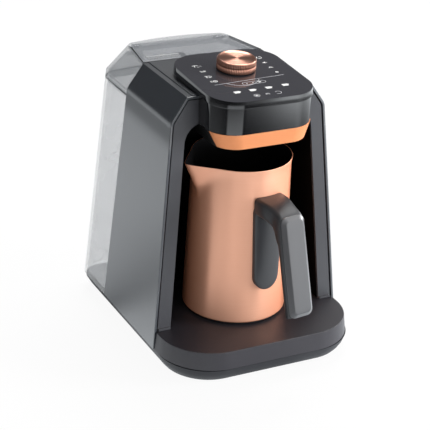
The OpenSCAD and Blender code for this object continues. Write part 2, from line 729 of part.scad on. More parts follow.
module pump_housing() color("#d9d9d4") translate([pump_x, pump_y, pump_z]) difference() {
    union() {
        cylinder(d = motor_d + 2, h = head_h);
        translate([0, 0, -4]) cylinder(d = spigot_d, h = 5);
        translate([motor_d / 2 - 2, 0, head_h / 2]) rotate([0, 90, 0]) cylinder(d = spigot_d, h = 9);
    }
    translate([0, 0, 2]) cylinder(d = motor_d - 2, h = head_h - 4);
    translate([0, 0, head_h - 3]) cylinder(d = 3.4, h = 10);
    translate([0, 0, -6]) cylinder(d = 2, h = 10);
    translate([0, 0, head_h / 2]) rotate([0, 90, 0]) cylinder(d = 2, h = 40);
}

module pump_motor() color("#b9b9bd") translate([pump_x, pump_y, pump_z + head_h + 0.1]) difference() {
    union() {
        cylinder(d = motor_d, h = motor_h);
        translate([0, 0, motor_h - eps]) cylinder(d = 6, h = 2);
        for (x = [-4, 4]) translate([x - 1, -0.3, motor_h - eps]) cube([2, 0.6, 5]);
    }
    translate([0, 0, -1]) cylinder(d = 2 + 2 * run_fit, h = motor_h - 3);
}

module pump_rotor() color("#e6e2d6") translate([pump_x, pump_y, pump_z]) {
    translate([0, 0, 3]) cylinder(d = motor_d - 5, h = 1.4);
    for (a = [0:60:300]) rotate(a) translate([1, -0.6, 4.3]) cube([motor_d / 2 - 4, 1.2, 4]);
    translate([0, 0, 3]) cylinder(d = 4, h = 5.4);
    translate([0, 0, 8]) cylinder(d = 2, h = head_h + motor_h - 14);
}

socket_floor = foot_h + tray_t + 0.4;
inlet_z = socket_floor + 4.4;
module inlet_hose() color("#cfd4d8") hose(soft_route([
    [valve_x - nozzle_d / 2 - 2.7, valve_y, inlet_z],
    [pump_x, valve_y, inlet_z],
    [pump_x, pump_y, inlet_z],
    [pump_x, pump_y, pump_z - 0.2]], 5));

module outlet_hose() color("#cfd4d8") {
    x0 = pump_x + motor_d / 2 + 1.3;
    z0 = pump_z + head_h / 2;
    up_x = pump_x + motor_d / 2 + 12;
    roof = niche_z + liner_t + 9;
    hose(soft_route([
        [x0, pump_y, z0], [up_x, pump_y, z0], [up_x, pump_y, roof], [0, pump_y - 6, roof],
        [0, nozzle_y, roof], [0, nozzle_y, nozzle_top + 0.1]], 4.4));
}

module valve_socket() color("#e3e3de") translate([valve_x, valve_y, 0]) {
    difference() {
        union() {
            translate([0, 0, socket_floor]) cylinder(d = nozzle_d + 5, h = shelf_z - socket_floor);
            translate([-nozzle_d / 2 - 6.4, 0, inlet_z]) rotate([0, 90, 0]) cylinder(d = spigot_d, h = 6);
        }
        translate([0, 0, socket_floor + 1.4]) cylinder(d = nozzle_d + 1.2, h = 40);
        translate([-nozzle_d / 2 - 10, 0, inlet_z]) rotate([0, 90, 0]) cylinder(d = 2.4, h = 14);
    }
    // pin that lifts the valve plunger
    translate([0, 0, socket_floor + 1.3]) cylinder(d = 3, h = 3);
}

module socket_seal() color("#8b2f22") translate([valve_x, valve_y, shelf_z - 3]) rotate_extrude()
    translate([nozzle_d / 2 + 0.33, 0]) square([0.25, 1.8]);

module valve_body() color("#d0d0cc") translate([valve_x, valve_y, 0]) difference() {
    union() {
        translate([0, 0, socket_floor + 4.9]) cylinder(d = nozzle_d, h = tank_floor - socket_floor - 4.9 + 0.1);
        translate([0, 0, tank_floor + 0.05]) cylinder(d = nozzle_d + 8, h = 2);
        translate([0, 0, tank_floor + 2]) cylinder(d = nozzle_d, h = 8);
    }
    translate([0, 0, socket_floor + 6.4]) cylinder(d = nozzle_d - 3, h = 60);
    translate([0, 0, socket_floor]) cylinder(d = 6, h = 60);
}

plunger_z = socket_floor + 4.4;
module valve_plunger() color("#2f6fb0") translate([valve_x, valve_y, 0]) {
    translate([0, 0, plunger_z]) cylinder(d = 3.6, h = 15);
    translate([0, 0, plunger_z + 4.6]) cylinder(d = nozzle_d - 4, h = 1.6);
}

// Small closing spring above the plunger's disc
module valve_spring() color("#c9c9c9") translate([valve_x, valve_y, plunger_z + 6.7]) {
    turns = 4;
    steps = 12;
    h = 6;
    swept([for (k = [0:turns * steps]) let(a = 360 * k / steps)
        [3.1 * cos(a), 3.1 * sin(a), h * k / (turns * steps)]], 0.7, 6);
}

module inlet_strainer() color("#b9c4cc") translate([valve_x, valve_y, tank_floor + 2.1]) difference() {
    cylinder(d = nozzle_d + 6, h = 12);
    translate([0, 0, -1]) cylinder(d = nozzle_d + 3.6, h = 11.4);
    for (a = [0:45:315]) rotate(a) translate([nozzle_d / 2, -1, 2]) cube([6, 2, 6]);
}

// ---- electrics ----

board_x0 = 6;
board_x1 = 60;
board_z0 = 60;
board_z1 = 138;
module power_board() color("#2a6b3c") difference() {
    translate([board_x0, board_y - 1.6, board_z0]) cube([board_x1 - board_x0, 1.6, board_z1 - board_z0]);
    for (x = [board_x0 + 4, board_x1 - 4], z = [board_z0 + 4, board_z1 - 4])
        translate([x, board_y + 5, z]) rotate([90, 0, 0]) cylinder(d = 3, h = 20);
}

module transformer() color("#c98b3a") translate([board_x0 + 12, board_y - 1.7 - 13, board_z0 + 14]) {
    cube([30, 13, 8]);
    translate([3, 1, 7]) cube([24, 11, 10]);
    translate([0, 0, 16]) cube([30, 13, 8]);
}

module relay() color("#2d4f9e") translate([board_x0 + 12, board_y - 1.7 - 12, board_z0 + 48]) cube([19, 12, 15]);

module board_screws() color("#8c8c90")
    for (x = [board_x0 + 4, board_x1 - 4], z = [board_z0 + 4, board_z1 - 4])
        translate([x, board_y - 3.7, z]) rotate([-90, 0, 0]) screw(2.5, 5.4, 5, 2);

module panel_cable() color("#3a3a3a") swept(soft_route([
    [34, board_y - 1.8, board_z1 - 10], [34, board_y - 8, board_z1 - 10], [34, board_y - 8, niche_z + 10],
    [22, 24, niche_z + 12], [22, 10, niche_z + 16]], 5), 3.6, 8);

module heater_leads() color("#a33227")
    for (s = [-1, 1]) {
        a = element_r * cos(60);
        swept(soft_route([
            [s * a, pot_y - element_r * sin(60), element_z - 12],
            [s * a, pot_y - element_r * sin(60) + 3, 8 + s],
            [s * 18, 0, 8 + s], [leads_x + 2.5 * s, pump_y, 8 + s], [leads_x + 2.5 * s, pump_y, board_z0 - 8],
            [leads_x + 2.5 * s, board_y - 4.2, board_z0 - 8], [leads_x + 2.5 * s, board_y - 4.2, board_z0 + 6],
            [leads_x + 2.5 * s, board_y - 1.7, board_z0 + 6]], 1.6), 2.2, 8);
    }

module cable_gland() color("#222224") translate([gland_x, tray_back_y, gland_z]) rotate([-90, 0, 0]) difference() {
    union() {
        translate([0, 0, -gland_in - 1.7]) cylinder(r = 3.5, h = gland_in + 3);
        translate([0, 0, 0.1]) cylinder(r = 5, h = 2.2);
        // nut behind the wall, flat above and below
        translate([0, 0, -gland_in - 1.8]) intersection() {
            cylinder(r = 5.4, h = 1.8);
            translate([-6, -3.6, -1]) cube([12, 7.2, 4]);
        }
    }
    translate([0, 0, -20]) cylinder(r = 2.9, h = 40);
}

// ---- knob ----

module at_knob() on_panel() translate([0, -knob_v, 0]) children();

module knob_cap() color("#c98a6c") at_knob() rotate_extrude() {
    r = knob_d / 2;
    z = knob_gap;
    difference() {
        polygon([[0, z], [r - 0.5, z], [r, z + 0.5], [r, z + 3.6], [r - 0.6, z + 4], [r - 0.6, z + 4.6],
            [r, z + 5], [r, z + knob_h - 0.8], [r - 0.8, z + knob_h], [r - 1.8, z + knob_h],
            [r - 2.2, z + knob_h - 0.4], [0, z + knob_h - 0.4]]);
        translate([-1, z - 1]) square([r - 1.6 + 1, knob_h - 1]);
    }
}

module knob_core() color("#202022") at_knob() translate([0, 0, knob_gap + 0.4]) difference() {
    cylinder(d = knob_d - 3.4, h = knob_h - 2.6);
    translate([0, 0, -1]) cylinder(d = shaft_d + 0.1, h = knob_h - 3.4);
}

module encoder_shaft() color("#c4c4c8") at_knob() translate([0, 0, -board_depth + 3.4])
    cylinder(d = shaft_d, h = board_depth - 3.4 + knob_gap + knob_h - 4.2);

// ---- pot: handle to -Y, spout to -X, before the whole pot is turned ----

module at_pot() translate([0, pot_y, pot_z]) rotate(pot_turn) children();

function pot_r(z) = pot_base_d / 2 + (pot_rim_d - pot_base_d) / 2 * z / pot_h;

module spout(in) {
    r = pot_rim_d / 2 - in;
    hull() {
        translate([0, 0, pot_h - 1]) intersection() {
            cylinder(r = r, h = 1 + in, $fn = hull_fn);
            translate([-far / 2, -r * 0.72, -1]) cube([far / 2 - r * 0.4, r * 1.44, 10]);
        }
        translate([-spout_reach + 2.5 + in * 1.5, 0, pot_h - 2.6]) cylinder(r = 2.5, h = 1.8 + 2 * in, $fn = 16);
        translate([-r + 2.4, 0, pot_h - 34 + in * 3]) sphere(r = 1.5, $fn = 16);
    }
}

module pot_body() color("#d99878") at_pot() difference() {
    low = pot_ring_h;
    union() {
        rotate_extrude() polygon([[0, low], [pot_r(0) - 1.6, low], [pot_r(0) - 0.5, low + 0.4],
            [pot_r(0) - 0.05, low + 1.6], [pot_r(pot_h), pot_h], [0, pot_h]]);
        spout(0);
    }
    rotate_extrude() polygon([[0, low + pot_t], [pot_r(0) - 4, low + pot_t], [pot_r(0) - 2, low + 2.6],
        [pot_r(0) - pot_t, low + 6], [pot_r(pot_h + 5) - pot_t, pot_h + 5], [0, pot_h + 5]]);
    spout(pot_t);
    // way for the fixing screws of the handle
    for (z = screw_zs) translate([0, 0, z]) rotate([90, 0, 0]) cylinder(d = 3.2, h = far / 4);
}

module pot_ring() color("#151515") at_pot() difference() {
    cylinder(r = pot_r(0) - 1.8, h = pot_ring_h - 0.05);
    translate([0, 0, -1]) cylinder(r = pot_r(0) - 8, h = 10);
}

// Side profile of the handle in [distance from axis, height]
grip_fall = 5.5; // how much lower the grip starts than the arm at the pot
grip_dir = [sin(grip_lean), -cos(grip_lean)];
grip_len = (handle_top - grip_fall - handle_low) / cos(grip_lean);
grip_top = [grip_r, handle_top - grip_fall];
grip_low = grip_top + grip_dir * grip_len;
grip_in = [-cos(grip_lean), -sin(grip_lean)];
screw_zs = [handle_top - 8, mount_low + 18];
arm_t = 15;
mount_r = 14.3; // half width of the mount plate at its top
mount_low_r = 12.3; // and at its lower end

module handle_side() {
    inner_top = grip_top + grip_in * grip_t + grip_dir * 26;
    inner_low = grip_low + grip_in * grip_t;
    arm_low = handle_top - arm_t;
    knee = grip_top + grip_in * (grip_t + 2.4) + grip_dir * 17;
    bend = [pot_r(arm_low) + 19, arm_low - 2];
    difference() {
        polygon([[pot_r(handle_top), handle_top], [pot_r(handle_top) + 8, handle_top],
            [grip_r - 3, handle_top - grip_fall + 0.8], grip_top, grip_low, inner_low, inner_top, knee, bend,
            [pot_r(arm_low) + 11, arm_low + 0.4], [pot_r(arm_low), arm_low]]);
        corner_cut(grip_low, grip_top, inner_low, 3);
        corner_cut(inner_low, grip_low, inner_top, 3);
    }
}

// Plan of the handle, as wide as the mount plate at the pot and narrower at the grip
module handle_plan() polygon([[-mount_r, 0], [mount_r, 0], [mount_r, -pot_r(handle_top) - 3],
    [handle_w / 2, -grip_r + 6], [handle_w / 2, -far / 4], [-handle_w / 2, -far / 4],
    [-handle_w / 2, -grip_r + 6], [-mount_r, -pot_r(handle_top) - 3]]);

// Outline of the mount plate seen from the front, narrower towards its lower end
module mount_outline() {
    top = [0, handle_top - mount_r];
    low = [0, mount_low + mount_low_r];
    translate(top) circle(mount_r);
    translate(low) circle(mount_low_r);
    polygon([top + [-mount_r, 0], top + [mount_r, 0], low + [mount_low_r, 0], low - [mount_low_r, 0]]);
}

module pot_handle() color("#3a3b3d") at_pot() difference() {
    union() {
        intersection() {
            rotate([90, 0, -90]) translate([0, 0, -mount_r]) linear_extrude(2 * mount_r) handle_side();
            linear_extrude(far) handle_plan();
            // upper corners of the arm are rounded
            rotate([90, 0, 0]) linear_extrude(far) union() {
                translate([-mount_r, 0]) square([2 * mount_r, handle_top - 5]);
                translate([-mount_r + 5, handle_top - 10]) square([2 * mount_r - 10, 10]);
                for (s = [1, -1]) translate([s * (mount_r - 5), handle_top - 5]) circle(5);
            }
        }
        intersection() {
            rotate([90, 0, 0]) linear_extrude(far / 4) mount_outline();
            rotate_extrude() polygon([[pot_r(0) - 1, 0], [pot_r(0) + 4, 0],
                [pot_r(handle_top) + 4, handle_top], [pot_r(handle_top) - 1, handle_top]]);
        }
    }
    rotate_extrude() polygon([[0, 0], [pot_r(0) + seat, 0], [pot_r(pot_h) + seat, pot_h], [0, pot_h]]);
    for (z = screw_zs) translate([0, 0, z]) rotate([90, 0, 0]) cylinder(d = 3.1, h = pot_r(z) + 3);
}

module handle_screws() color("#9a9a9e") at_pot() for (z = screw_zs)
    translate([0, -pot_r(z) + pot_t + 1.4, z]) rotate([90, 0, 0]) screw(3, 3.6, 6, 1.2);

// Bevelled insert over the whole front of the grip
module handle_insert() color("#84868a") at_pot() {
    bevel = 3.2;
    at = grip_top - grip_in * 0.08;
    translate([0, -at.x, at.y]) rotate([90 - grip_lean, 0, 0]) hull() {
        linear_extrude(0.8) rounded(handle_w, grip_len, 5.5, $fn = hull_fn);
        translate([0, -bevel, 0]) linear_extrude(insert_t)
            rounded(handle_w - 2 * bevel, grip_len - 2 * bevel, 3.4, $fn = hull_fn);
    }
}

// ---- tank ----

tank_y0 = seam_y + tank_gap - 0.1;
tank_low = shell_z + 0.3;
tank_floor = tank_low + tank_t;

// Plan outline at half-width x, with rounded rear corners and a gently curved rear face
module tank_plan(x, in = 0, r = tank_r) {
    translate([0, tank_rear_y - in]) {
        rounded(2 * x, tank_rear_y - tank_y0 - 2 * in, r - in, $fn = hull_fn);
        translate([-x, -(tank_rear_y - tank_y0) + 2 * in]) square([2 * x, 20]);
    }
    rear_curve(x - r, tank_rear_y - in);
}

// Flat arc that stands out by tank_bulge behind the line y, between -x and x
module rear_curve(x, y) polygon([[-x, y - 1], for (k = [-8:8]) [x * k / 8, y + tank_bulge * (1 - pow(k / 8, 2))],
    [x, y - 1]]);

module tank_volume(in, z0, z1) hull() {
    translate([0, 0, z0]) linear_extrude(0.05) tank_plan(side_x(z0, in), in);
    translate([0, 0, z1 - 0.05]) linear_extrude(0.05) tank_plan(side_x(z1, in), in);
}

module water_tank() color([0.72, 0.75, 0.78, 0.6]) difference() {
    tank_volume(0, tank_low, cover_z - 0.3);
    tank_volume(tank_t, tank_floor, cover_z + 3);
    translate([valve_x, valve_y, 0]) cylinder(d = nozzle_d + 2 * seat, h = 40);
}

// Outer form of the cover: side walls, shoulders and a top that falls to the rear
module cover_form(in) hull() {
    bottom = cover_z - in;
    translate([0, 0, bottom]) linear_extrude(0.05) tank_plan(side_x(bottom, in), in);
    translate([0, 0, bend_z(in) - 0.05]) linear_extrude(0.05) tank_plan(side_x(bend_z(in), in), in);
    on_cover_top() translate([0, 0, -in - 0.05]) linear_extrude(0.05) cover_plan(in);
}

cover_end_y = tank_rear_y - 1.5; // rear edge of the cover top, without its curve
top_fall = atan(cover_fall / (cover_end_y - tank_y0));
module on_cover_top() translate([0, tank_y0, top_z]) rotate([-top_fall, 0, 0]) children();
module cover_plan(in) {
    x = cover_back_w / 2 - in;
    y = cover_end_y - tank_y0 - in;
    front = shoulder_at(top_z - in, in);
    polygon([[-front, in], [front, in], [x, y - 9], [-x, y - 9]]);
    for (s = [1, -1]) translate([s * (x - 9 + in), y - 9 + in]) circle(9 - in, $fn = hull_fn);
    rear_curve(x - 9, y);
}

// Surface of the cover top at a given Y
function cover_top(y) = top_z - (y - tank_y0) * tan(top_fall);
hinge_z = cover_top(hinge_y) - flap_t;
ear_x = cover_back_w / 2 - 5;
barrel_gap = 0.6;

// Plan of the flap, grown by "gap" for its opening
module flap_plan(gap) {
    x0 = top_w / 2 - 0.3 + gap;
    x1 = cover_back_w / 2 - 0.3 + gap;
    xh = ear_x - 0.5 + gap;
    yh = hinge_y - flap_t - barrel_gap - 1;
    ahead = gap > 0 ? 5 : 0; // the opening runs out through the front of the cover
    back = gap > 0 ? 0.9 : 0; // and leaves room behind for the opened flap
    end_y = hinge_y + (gap > 0 ? flap_t + barrel_gap + 0.5 : 0);
    slope = (x0 - x1) / (yh - tank_y0);
    polygon([[-x0 - ahead * slope, tank_y0 - ahead], [x0 + ahead * slope, tank_y0 - ahead],
        [x1 - back * slope, yh + back], [xh, yh + back], [xh, end_y], [-xh, end_y], [-xh, yh + back],
        [-x1 + back * slope, yh + back]]);
}

// Everything under the plan of the flap down to "low" below the top face
module flap_slab(gap, low) intersection() {
    linear_extrude(far) flap_plan(gap);
    on_cover_top() translate([-far / 2, -10, -low]) cube([far, far, 10 + low]);
}

module tank_cover() color([0.72, 0.75, 0.78, 0.6]) difference() {
    lip_x = side_x(cover_z);
    union() {
        difference() {
            cover_form(0);
            // inside, leaving a ledge under the flap
            difference() {
                cover_form(tank_t);
                on_cover_top() translate([-far / 2, -10, -flap_t - 2.1]) cube([far, far, far]);
            }
            flap_slab(0.4, flap_t + 0.3);
            translate([-far / 2, 0, 0]) cube([far, far, cover_z]);
            // filling opening, leaving a ledge for the flap
            translate([0, 0, cover_z]) linear_extrude(far) polygon([
                [-top_w / 2 + 5, tank_y0 + 4], [top_w / 2 - 5, tank_y0 + 4],
                [ear_x - 5, hinge_y - 8], [-ear_x + 5, hinge_y - 8]]);
        }
        // lip that drops into the tank
        translate([0, 0, cover_z - 5]) linear_extrude(7) difference() {
            tank_plan(lip_x - tank_t - 0.4, tank_t + 0.4);
            tank_plan(lip_x - tank_t - 1.8, tank_t + 1.8);
        }
        translate([0, 0, cover_z]) linear_extrude(1.6) difference() {
            tank_plan(lip_x - 0.6, 0.6);
            tank_plan(lip_x - tank_t - 1.8, tank_t + 1.8);
        }
        // ears for the hinge pins
        intersection() {
            cover_form(0);
            for (s = [1, -1]) translate([s * (ear_x + 2.8), hinge_y + 1.1, hinge_z - 2])
                cube([5.6, 8, 9], center = true);
        }
    }
    for (s = [1, -1]) translate([s * (ear_x + 1.4), hinge_y, hinge_z]) rotate([0, 90, 0])
        cylinder(d = hinge_d + 0.04, h = 5, center = true);
    // room for the barrel of the flap
    translate([0, hinge_y, hinge_z]) rotate([0, 90, 0])
        cylinder(r = flap_t + barrel_gap, h = 2 * ear_x, center = true);
}

module tank_flap() color([0.70, 0.73, 0.76, 0.6]) difference() {
    union() {
        intersection() {
            cover_form(0);
            flap_slab(0, flap_t);
        }
        // barrel along the hinge axis, which rounds the rear edge
        translate([0, hinge_y, hinge_z]) rotate([0, 90, 0]) cylinder(r = flap_t, h = 2 * ear_x - 1, center = true);
    }
    for (s = [1, -1]) translate([s * (ear_x - 3), hinge_y, hinge_z]) rotate([0, 90, 0])
        cylinder(d = hinge_d + 2 * run_fit, h = 12, center = true);
}

module hinge_pins() color("#bdbdc0") for (s = [1, -1])
    translate([s * (ear_x - 1), hinge_y, hinge_z]) rotate([0, 90, 0]) cylinder(d = hinge_d, h = 9, center = true);

base_tray();
rubber_feet();
base_screws();
base_deck();
tank_shelf();
outer_shell();
top_plate();
front_frame();
niche_liner();
rear_panel();
heater_plate();
heater_seal();
heating_element();
heater_bracket();
heater_screws();
temperature_sensor();
head_housing();
metal_trim();
splash_plate();
panel_frame();
glass_panel();
touch_board();
control_board();
encoder();
buzzer();
foam_sensor();
water_nozzle();
pump_housing();
pump_motor();
pump_bracket();
pump_rotor();
inlet_hose();
outlet_hose();
valve_socket();
socket_seal();
power_board();
transformer();
relay();
board_screws();
panel_cable();
heater_leads();
cable_gland();
knob_cap();
knob_core();
encoder_shaft();
pot_body();
pot_ring();
pot_handle();
handle_insert();
handle_screws();
water_tank();
tank_cover();
tank_flap();
hinge_pins();
valve_body();
valve_plunger();
valve_spring();
inlet_strainer();
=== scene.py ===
# Electric turkish coffee maker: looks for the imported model. The scene is in metres, +Z up, front towards -Y.
# Sizes of the object's pieces are in mm
import json
import math

import bmesh
import bpy
import numpy as np
from mathutils import Matrix, Vector


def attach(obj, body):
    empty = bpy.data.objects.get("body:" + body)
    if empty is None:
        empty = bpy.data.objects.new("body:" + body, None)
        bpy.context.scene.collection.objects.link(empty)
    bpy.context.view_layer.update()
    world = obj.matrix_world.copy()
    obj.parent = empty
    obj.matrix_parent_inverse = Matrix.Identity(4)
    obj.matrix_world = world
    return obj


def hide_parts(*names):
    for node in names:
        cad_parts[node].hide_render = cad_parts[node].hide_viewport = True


print("loading the frame")
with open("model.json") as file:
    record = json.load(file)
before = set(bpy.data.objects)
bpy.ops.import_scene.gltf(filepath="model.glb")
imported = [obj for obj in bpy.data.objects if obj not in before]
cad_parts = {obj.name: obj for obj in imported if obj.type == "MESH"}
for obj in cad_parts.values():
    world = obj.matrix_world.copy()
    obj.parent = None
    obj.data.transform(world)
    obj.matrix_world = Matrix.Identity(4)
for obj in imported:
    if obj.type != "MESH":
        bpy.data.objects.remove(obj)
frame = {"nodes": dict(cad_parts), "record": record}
bodyOf = {node: body for body, nodes in frame["record"]["behaviour"]["bodies"].items() for node in nodes}
slotOf = {entry["node"]: entry["material_slot"] for entry in frame["record"]["subparts"]}
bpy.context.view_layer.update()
mm = 0.001
collection = bpy.context.scene.collection

camera = {
    "position": (-570.13, -1044.56, 662.39),  # mm, found from the straight edges of the body
    "target": (-11.69, 0.0, 106.97),
    "roll": 3.13,  # degrees
    "focal": 1507.2,  # in pixels of a picture that is 430 across
    "picture": 430,
    "sensor": 36,  # mm
}


def placeCamera():
    data = bpy.data.cameras.new("studioCamera")
    data.sensor_width = camera["sensor"]
    data.lens = camera["focal"] / camera["picture"] * camera["sensor"]
    data.clip_start = 0.05
    data.clip_end = 30
    obj = bpy.data.objects.new("studioCamera", data)
    collection.objects.link(obj)
    position = Vector(camera["position"]) * mm
    back = (position - Vector(camera["target"]) * mm).normalized()
    right = (-back).cross(Vector((0, 0, 1))).normalized()
    up = back.cross(right)
    roll = math.radians(camera["roll"])
    across = right * math.cos(roll) + up * math.sin(roll)
    over = up * math.cos(roll) - right * math.sin(roll)
    turn = Matrix((across, over, back)).transposed()
    obj.matrix_world = Matrix.Translation(position) @ turn.to_4x4()
    bpy.context.scene.camera = obj


def linearColour(hexText):
    parts = [int(hexText[i:i + 2], 16) / 255 for i in (0, 2, 4)]
    return [p / 12.92 if p <= 0.04045 else ((p + 0.055) / 1.055) ** 2.4 for p in parts] + [1.0]


def addNode(tree, kind, values=None, links=None, **settings):
    # a link comes from a socket, or from a node's first one
    node = tree.nodes.new("ShaderNode" + kind)
    for name, value in settings.items():
        setattr(node, name, value)
    for name, value in (values or {}).items():
        node.inputs[name].default_value = value
    for name, source in (links or {}).items():
        tree.links.new(source.outputs[0] if hasattr(source, "outputs") else source, node.inputs[name])
    return node


studio = {
    "floorSize": 12,  # metres
    "backgroundShare": 0.93,  # of the floor's look that is plain white for the camera
    "fill": 0.34,  # even light on everything
    "glossLeft": 0.46, "glossRight": 2.0,  # what gloss sees above the horizon to either side
    "glossSweep": (-0.8, 0.7),  # from left to right, where the one level goes over into the other
    "glossBehind": 0.07,  # share of it that is left behind the object
    "glossFade": (0.0, 0.6),  # from the side to the rear, where it falls to that share
    "cool": (0.93, 0.97, 1.0),  # tint of the floor as gloss sees it
}
# the floor as gloss sees it, in rings round the object: where each takes over, in metres from the middle,
# and its levels at degrees that run from the rear over the left to the front at 0, and on over the right
floorRings = [
    {"levels": [(-180, 1.0), (-142, 0.95), (-124, 0.4), (-112, 0.95), (-60, 1.35), (-30, 1.3), (-18, 0.8),
                (10, 0.8), (24, 1.2), (60, 1.3), (180, 1.3)]},
    {"takesOver": (0.3, 0.42),
     "levels": [(-180, 1.0), (-128, 1.0), (-112, 0.2), (-72, 0.2), (-46, 0.1), (-40, 0.98), (10, 0.95),
                (13.5, 0.03), (24.5, 0.07), (28, 0.3), (34, 0.5), (45, 0.6), (60, 0.32), (120, 0.4),
                (160, 1.0), (180, 1.0)]},
    {"takesOver": (0.55, 0.75),
     "levels": [(-180, 0.8), (-128, 0.8), (-112, 0.1), (-46, 0.03), (-30, 0.05), (4, 0.1), (24, 0.3),
                (26.5, 0.7), (30, 2.4), (60, 1.5), (180, 1.5)]},
]


def makeFloor():
    material = bpy.data.materials.new("paleStudioFloor")
    material.use_nodes = True
    tree = material.node_tree
    tree.nodes.clear()
    path = addNode(tree, "LightPath")
    place = addNode(tree, "NewGeometry")
    axes = addNode(tree, "SeparateXYZ", links={0: place.outputs["Position"]})
    ahead = addNode(tree, "Math", {1: -1}, {0: axes.outputs["Y"]}, operation="MULTIPLY")
    angle = addNode(tree, "Math", links={0: axes.outputs["X"], 1: ahead}, operation="ARCTAN2")
    around = addNode(tree, "MapRange", {"From Min": -math.pi, "From Max": math.pi}, {"Value": angle})
    away = addNode(tree, "VectorMath", links={0: place.outputs["Position"]}, operation="LENGTH")
    mirrored = None
    for ring in floorRings:
        ramp = addNode(tree, "ValToRGB", links={0: around})
        marks = ramp.color_ramp.elements
        while len(marks) < len(ring["levels"]):
            marks.new(0.5)
        for mark, (degrees, level) in zip(marks, ring["levels"]):
            mark.position = (degrees + 180) / 360
            mark.color = [level * share for share in studio["cool"]] + [1]
        if mirrored is None:
            mirrored = ramp
            continue
        start, end = ring["takesOver"]
        share = addNode(tree, "MapRange", {"From Min": start, "From Max": end},
                        {"Value": away.outputs["Value"]}, interpolation_type="SMOOTHSTEP")
        both = addNode(tree, "Mix", links={0: share, 6: mirrored, 7: ramp}, data_type="RGBA")
        mirrored = both.outputs[2]
    # the camera sees nearly plain white that keeps some shadow, also through the tank
    seen = addNode(tree, "Math", links={0: path.outputs["Is Camera Ray"],
                   1: path.outputs["Is Transmission Ray"]}, operation="MAXIMUM")
    share = addNode(tree, "Math", {1: studio["backgroundShare"]}, {0: seen}, operation="MULTIPLY")
    total = addNode(tree, "Math", links={0: share, 1: path.outputs["Is Glossy Ray"]}, operation="MAXIMUM")
    tone = addNode(tree, "Mix", {6: linearColour("FFFFFF")},
                   {0: path.outputs["Is Glossy Ray"], 7: mirrored}, data_type="RGBA")
    paint = addNode(tree, "BsdfDiffuse", {"Color": linearColour("F0F0F0")})
    white = addNode(tree, "Emission", {"Strength": 1.0}, {"Color": tone.outputs[2]})
    mix = addNode(tree, "MixShader", links={0: total, 1: paint, 2: white})
    addNode(tree, "OutputMaterial", links={"Surface": mix})
    bpy.ops.mesh.primitive_plane_add(size=studio["floorSize"], location=(0, 0, 0))
    floor = bpy.context.object
    floor.name = "studioFloor"
    floor.data.materials.append(material)


def makeWorld():
    world = bpy.data.worlds.new("studioWorld")
    bpy.context.scene.world = world
    world.use_nodes = True
    tree = world.node_tree
    tree.nodes.clear()
    path = addNode(tree, "LightPath")
    # gloss sees a studio that is pale in front and to the right, and dark behind
    where = addNode(tree, "TexCoord")
    axes = addNode(tree, "SeparateXYZ", links={0: where.outputs["Generated"]})
    left, right = studio["glossSweep"]
    side = addNode(tree, "MapRange", {"From Min": left, "From Max": right,
                   "To Min": studio["glossLeft"], "To Max": studio["glossRight"]},
                   {"Value": axes.outputs["X"]}, interpolation_type="SMOOTHSTEP")
    near, far = studio["glossFade"]
    behind = addNode(tree, "MapRange", {"From Min": near, "From Max": far, "To Min": 1.0,
                     "To Max": studio["glossBehind"]}, {"Value": axes.outputs["Y"]},
                     interpolation_type="SMOOTHSTEP")
    gloss = addNode(tree, "Math", links={0: side, 1: behind}, operation="MULTIPLY")
    glossLevel = addNode(tree, "Mix", {2: studio["fill"]},
                         {0: path.outputs["Is Glossy Ray"], 3: gloss}, data_type="FLOAT")
    seen = addNode(tree, "Math", links={0: path.outputs["Is Camera Ray"],
                   1: path.outputs["Is Transmission Ray"]}, operation="MAXIMUM")
    level = addNode(tree, "Mix", {3: 1.0}, {0: seen, 2: glossLevel}, data_type="FLOAT")
    shine = addNode(tree, "Background", {"Color": linearColour("FFFFFF")}, {"Strength": level})
    addNode(tree, "OutputWorld", links={"Surface": shine})


# position, aim and size in metres, power in watts, and whether gloss mirrors the box
softboxes = {
    "frontSoftbox": {"position": (0.9, -1.9, 0.5), "aim": (0, 0, 0.12), "size": (1.3, 0.7), "power": 15,
                     "gloss": False},
    "rightSoftbox": {"position": (1.85, -1.0, 0.32), "aim": (0, 0, 0.12), "size": (0.7, 0.7), "power": 88,
                     "gloss": False},
    # low on the right: lights the edges that face away on that side
    "edgeSoftbox": {"position": (1.7, 0.35, 0.6), "aim": (0, 0, 0.12), "size": (0.5, 1.0), "power": 12,
                    "gloss": True},
    "leftSoftbox": {"position": (-1.3, -1.7, 0.3), "aim": (0, 0, 0.1), "size": (0.9, 0.5), "power": 12,
                    "gloss": False},
    # over the object and behind it: fans out on the turned knob
    "topSoftbox": {"position": (0.45, 0.75, 1.5), "aim": (0, 0, 0.24), "size": (0.9, 0.4), "power": 20,
                   "gloss": True},
}


def placeSoftboxes():
    for name, box in softboxes.items():
        data = bpy.data.lights.new(name, "AREA")
        data.shape = "RECTANGLE"
        data.size, data.size_y = box["size"]
        data.energy = box["power"]
        obj = bpy.data.objects.new(name, data)
        collection.objects.link(obj)
        position = Vector(box["position"])
        obj.location = position
        obj.rotation_euler = (Vector(box["aim"]) - position).to_track_quat("-Z", "Y").to_euler()
        obj.visible_camera = False
        obj.visible_glossy = box["gloss"]


print("camera, floor and light")
placeCamera()
makeFloor()
makeWorld()
placeSoftboxes()
bpy.context.scene.view_settings.view_transform = "Standard"

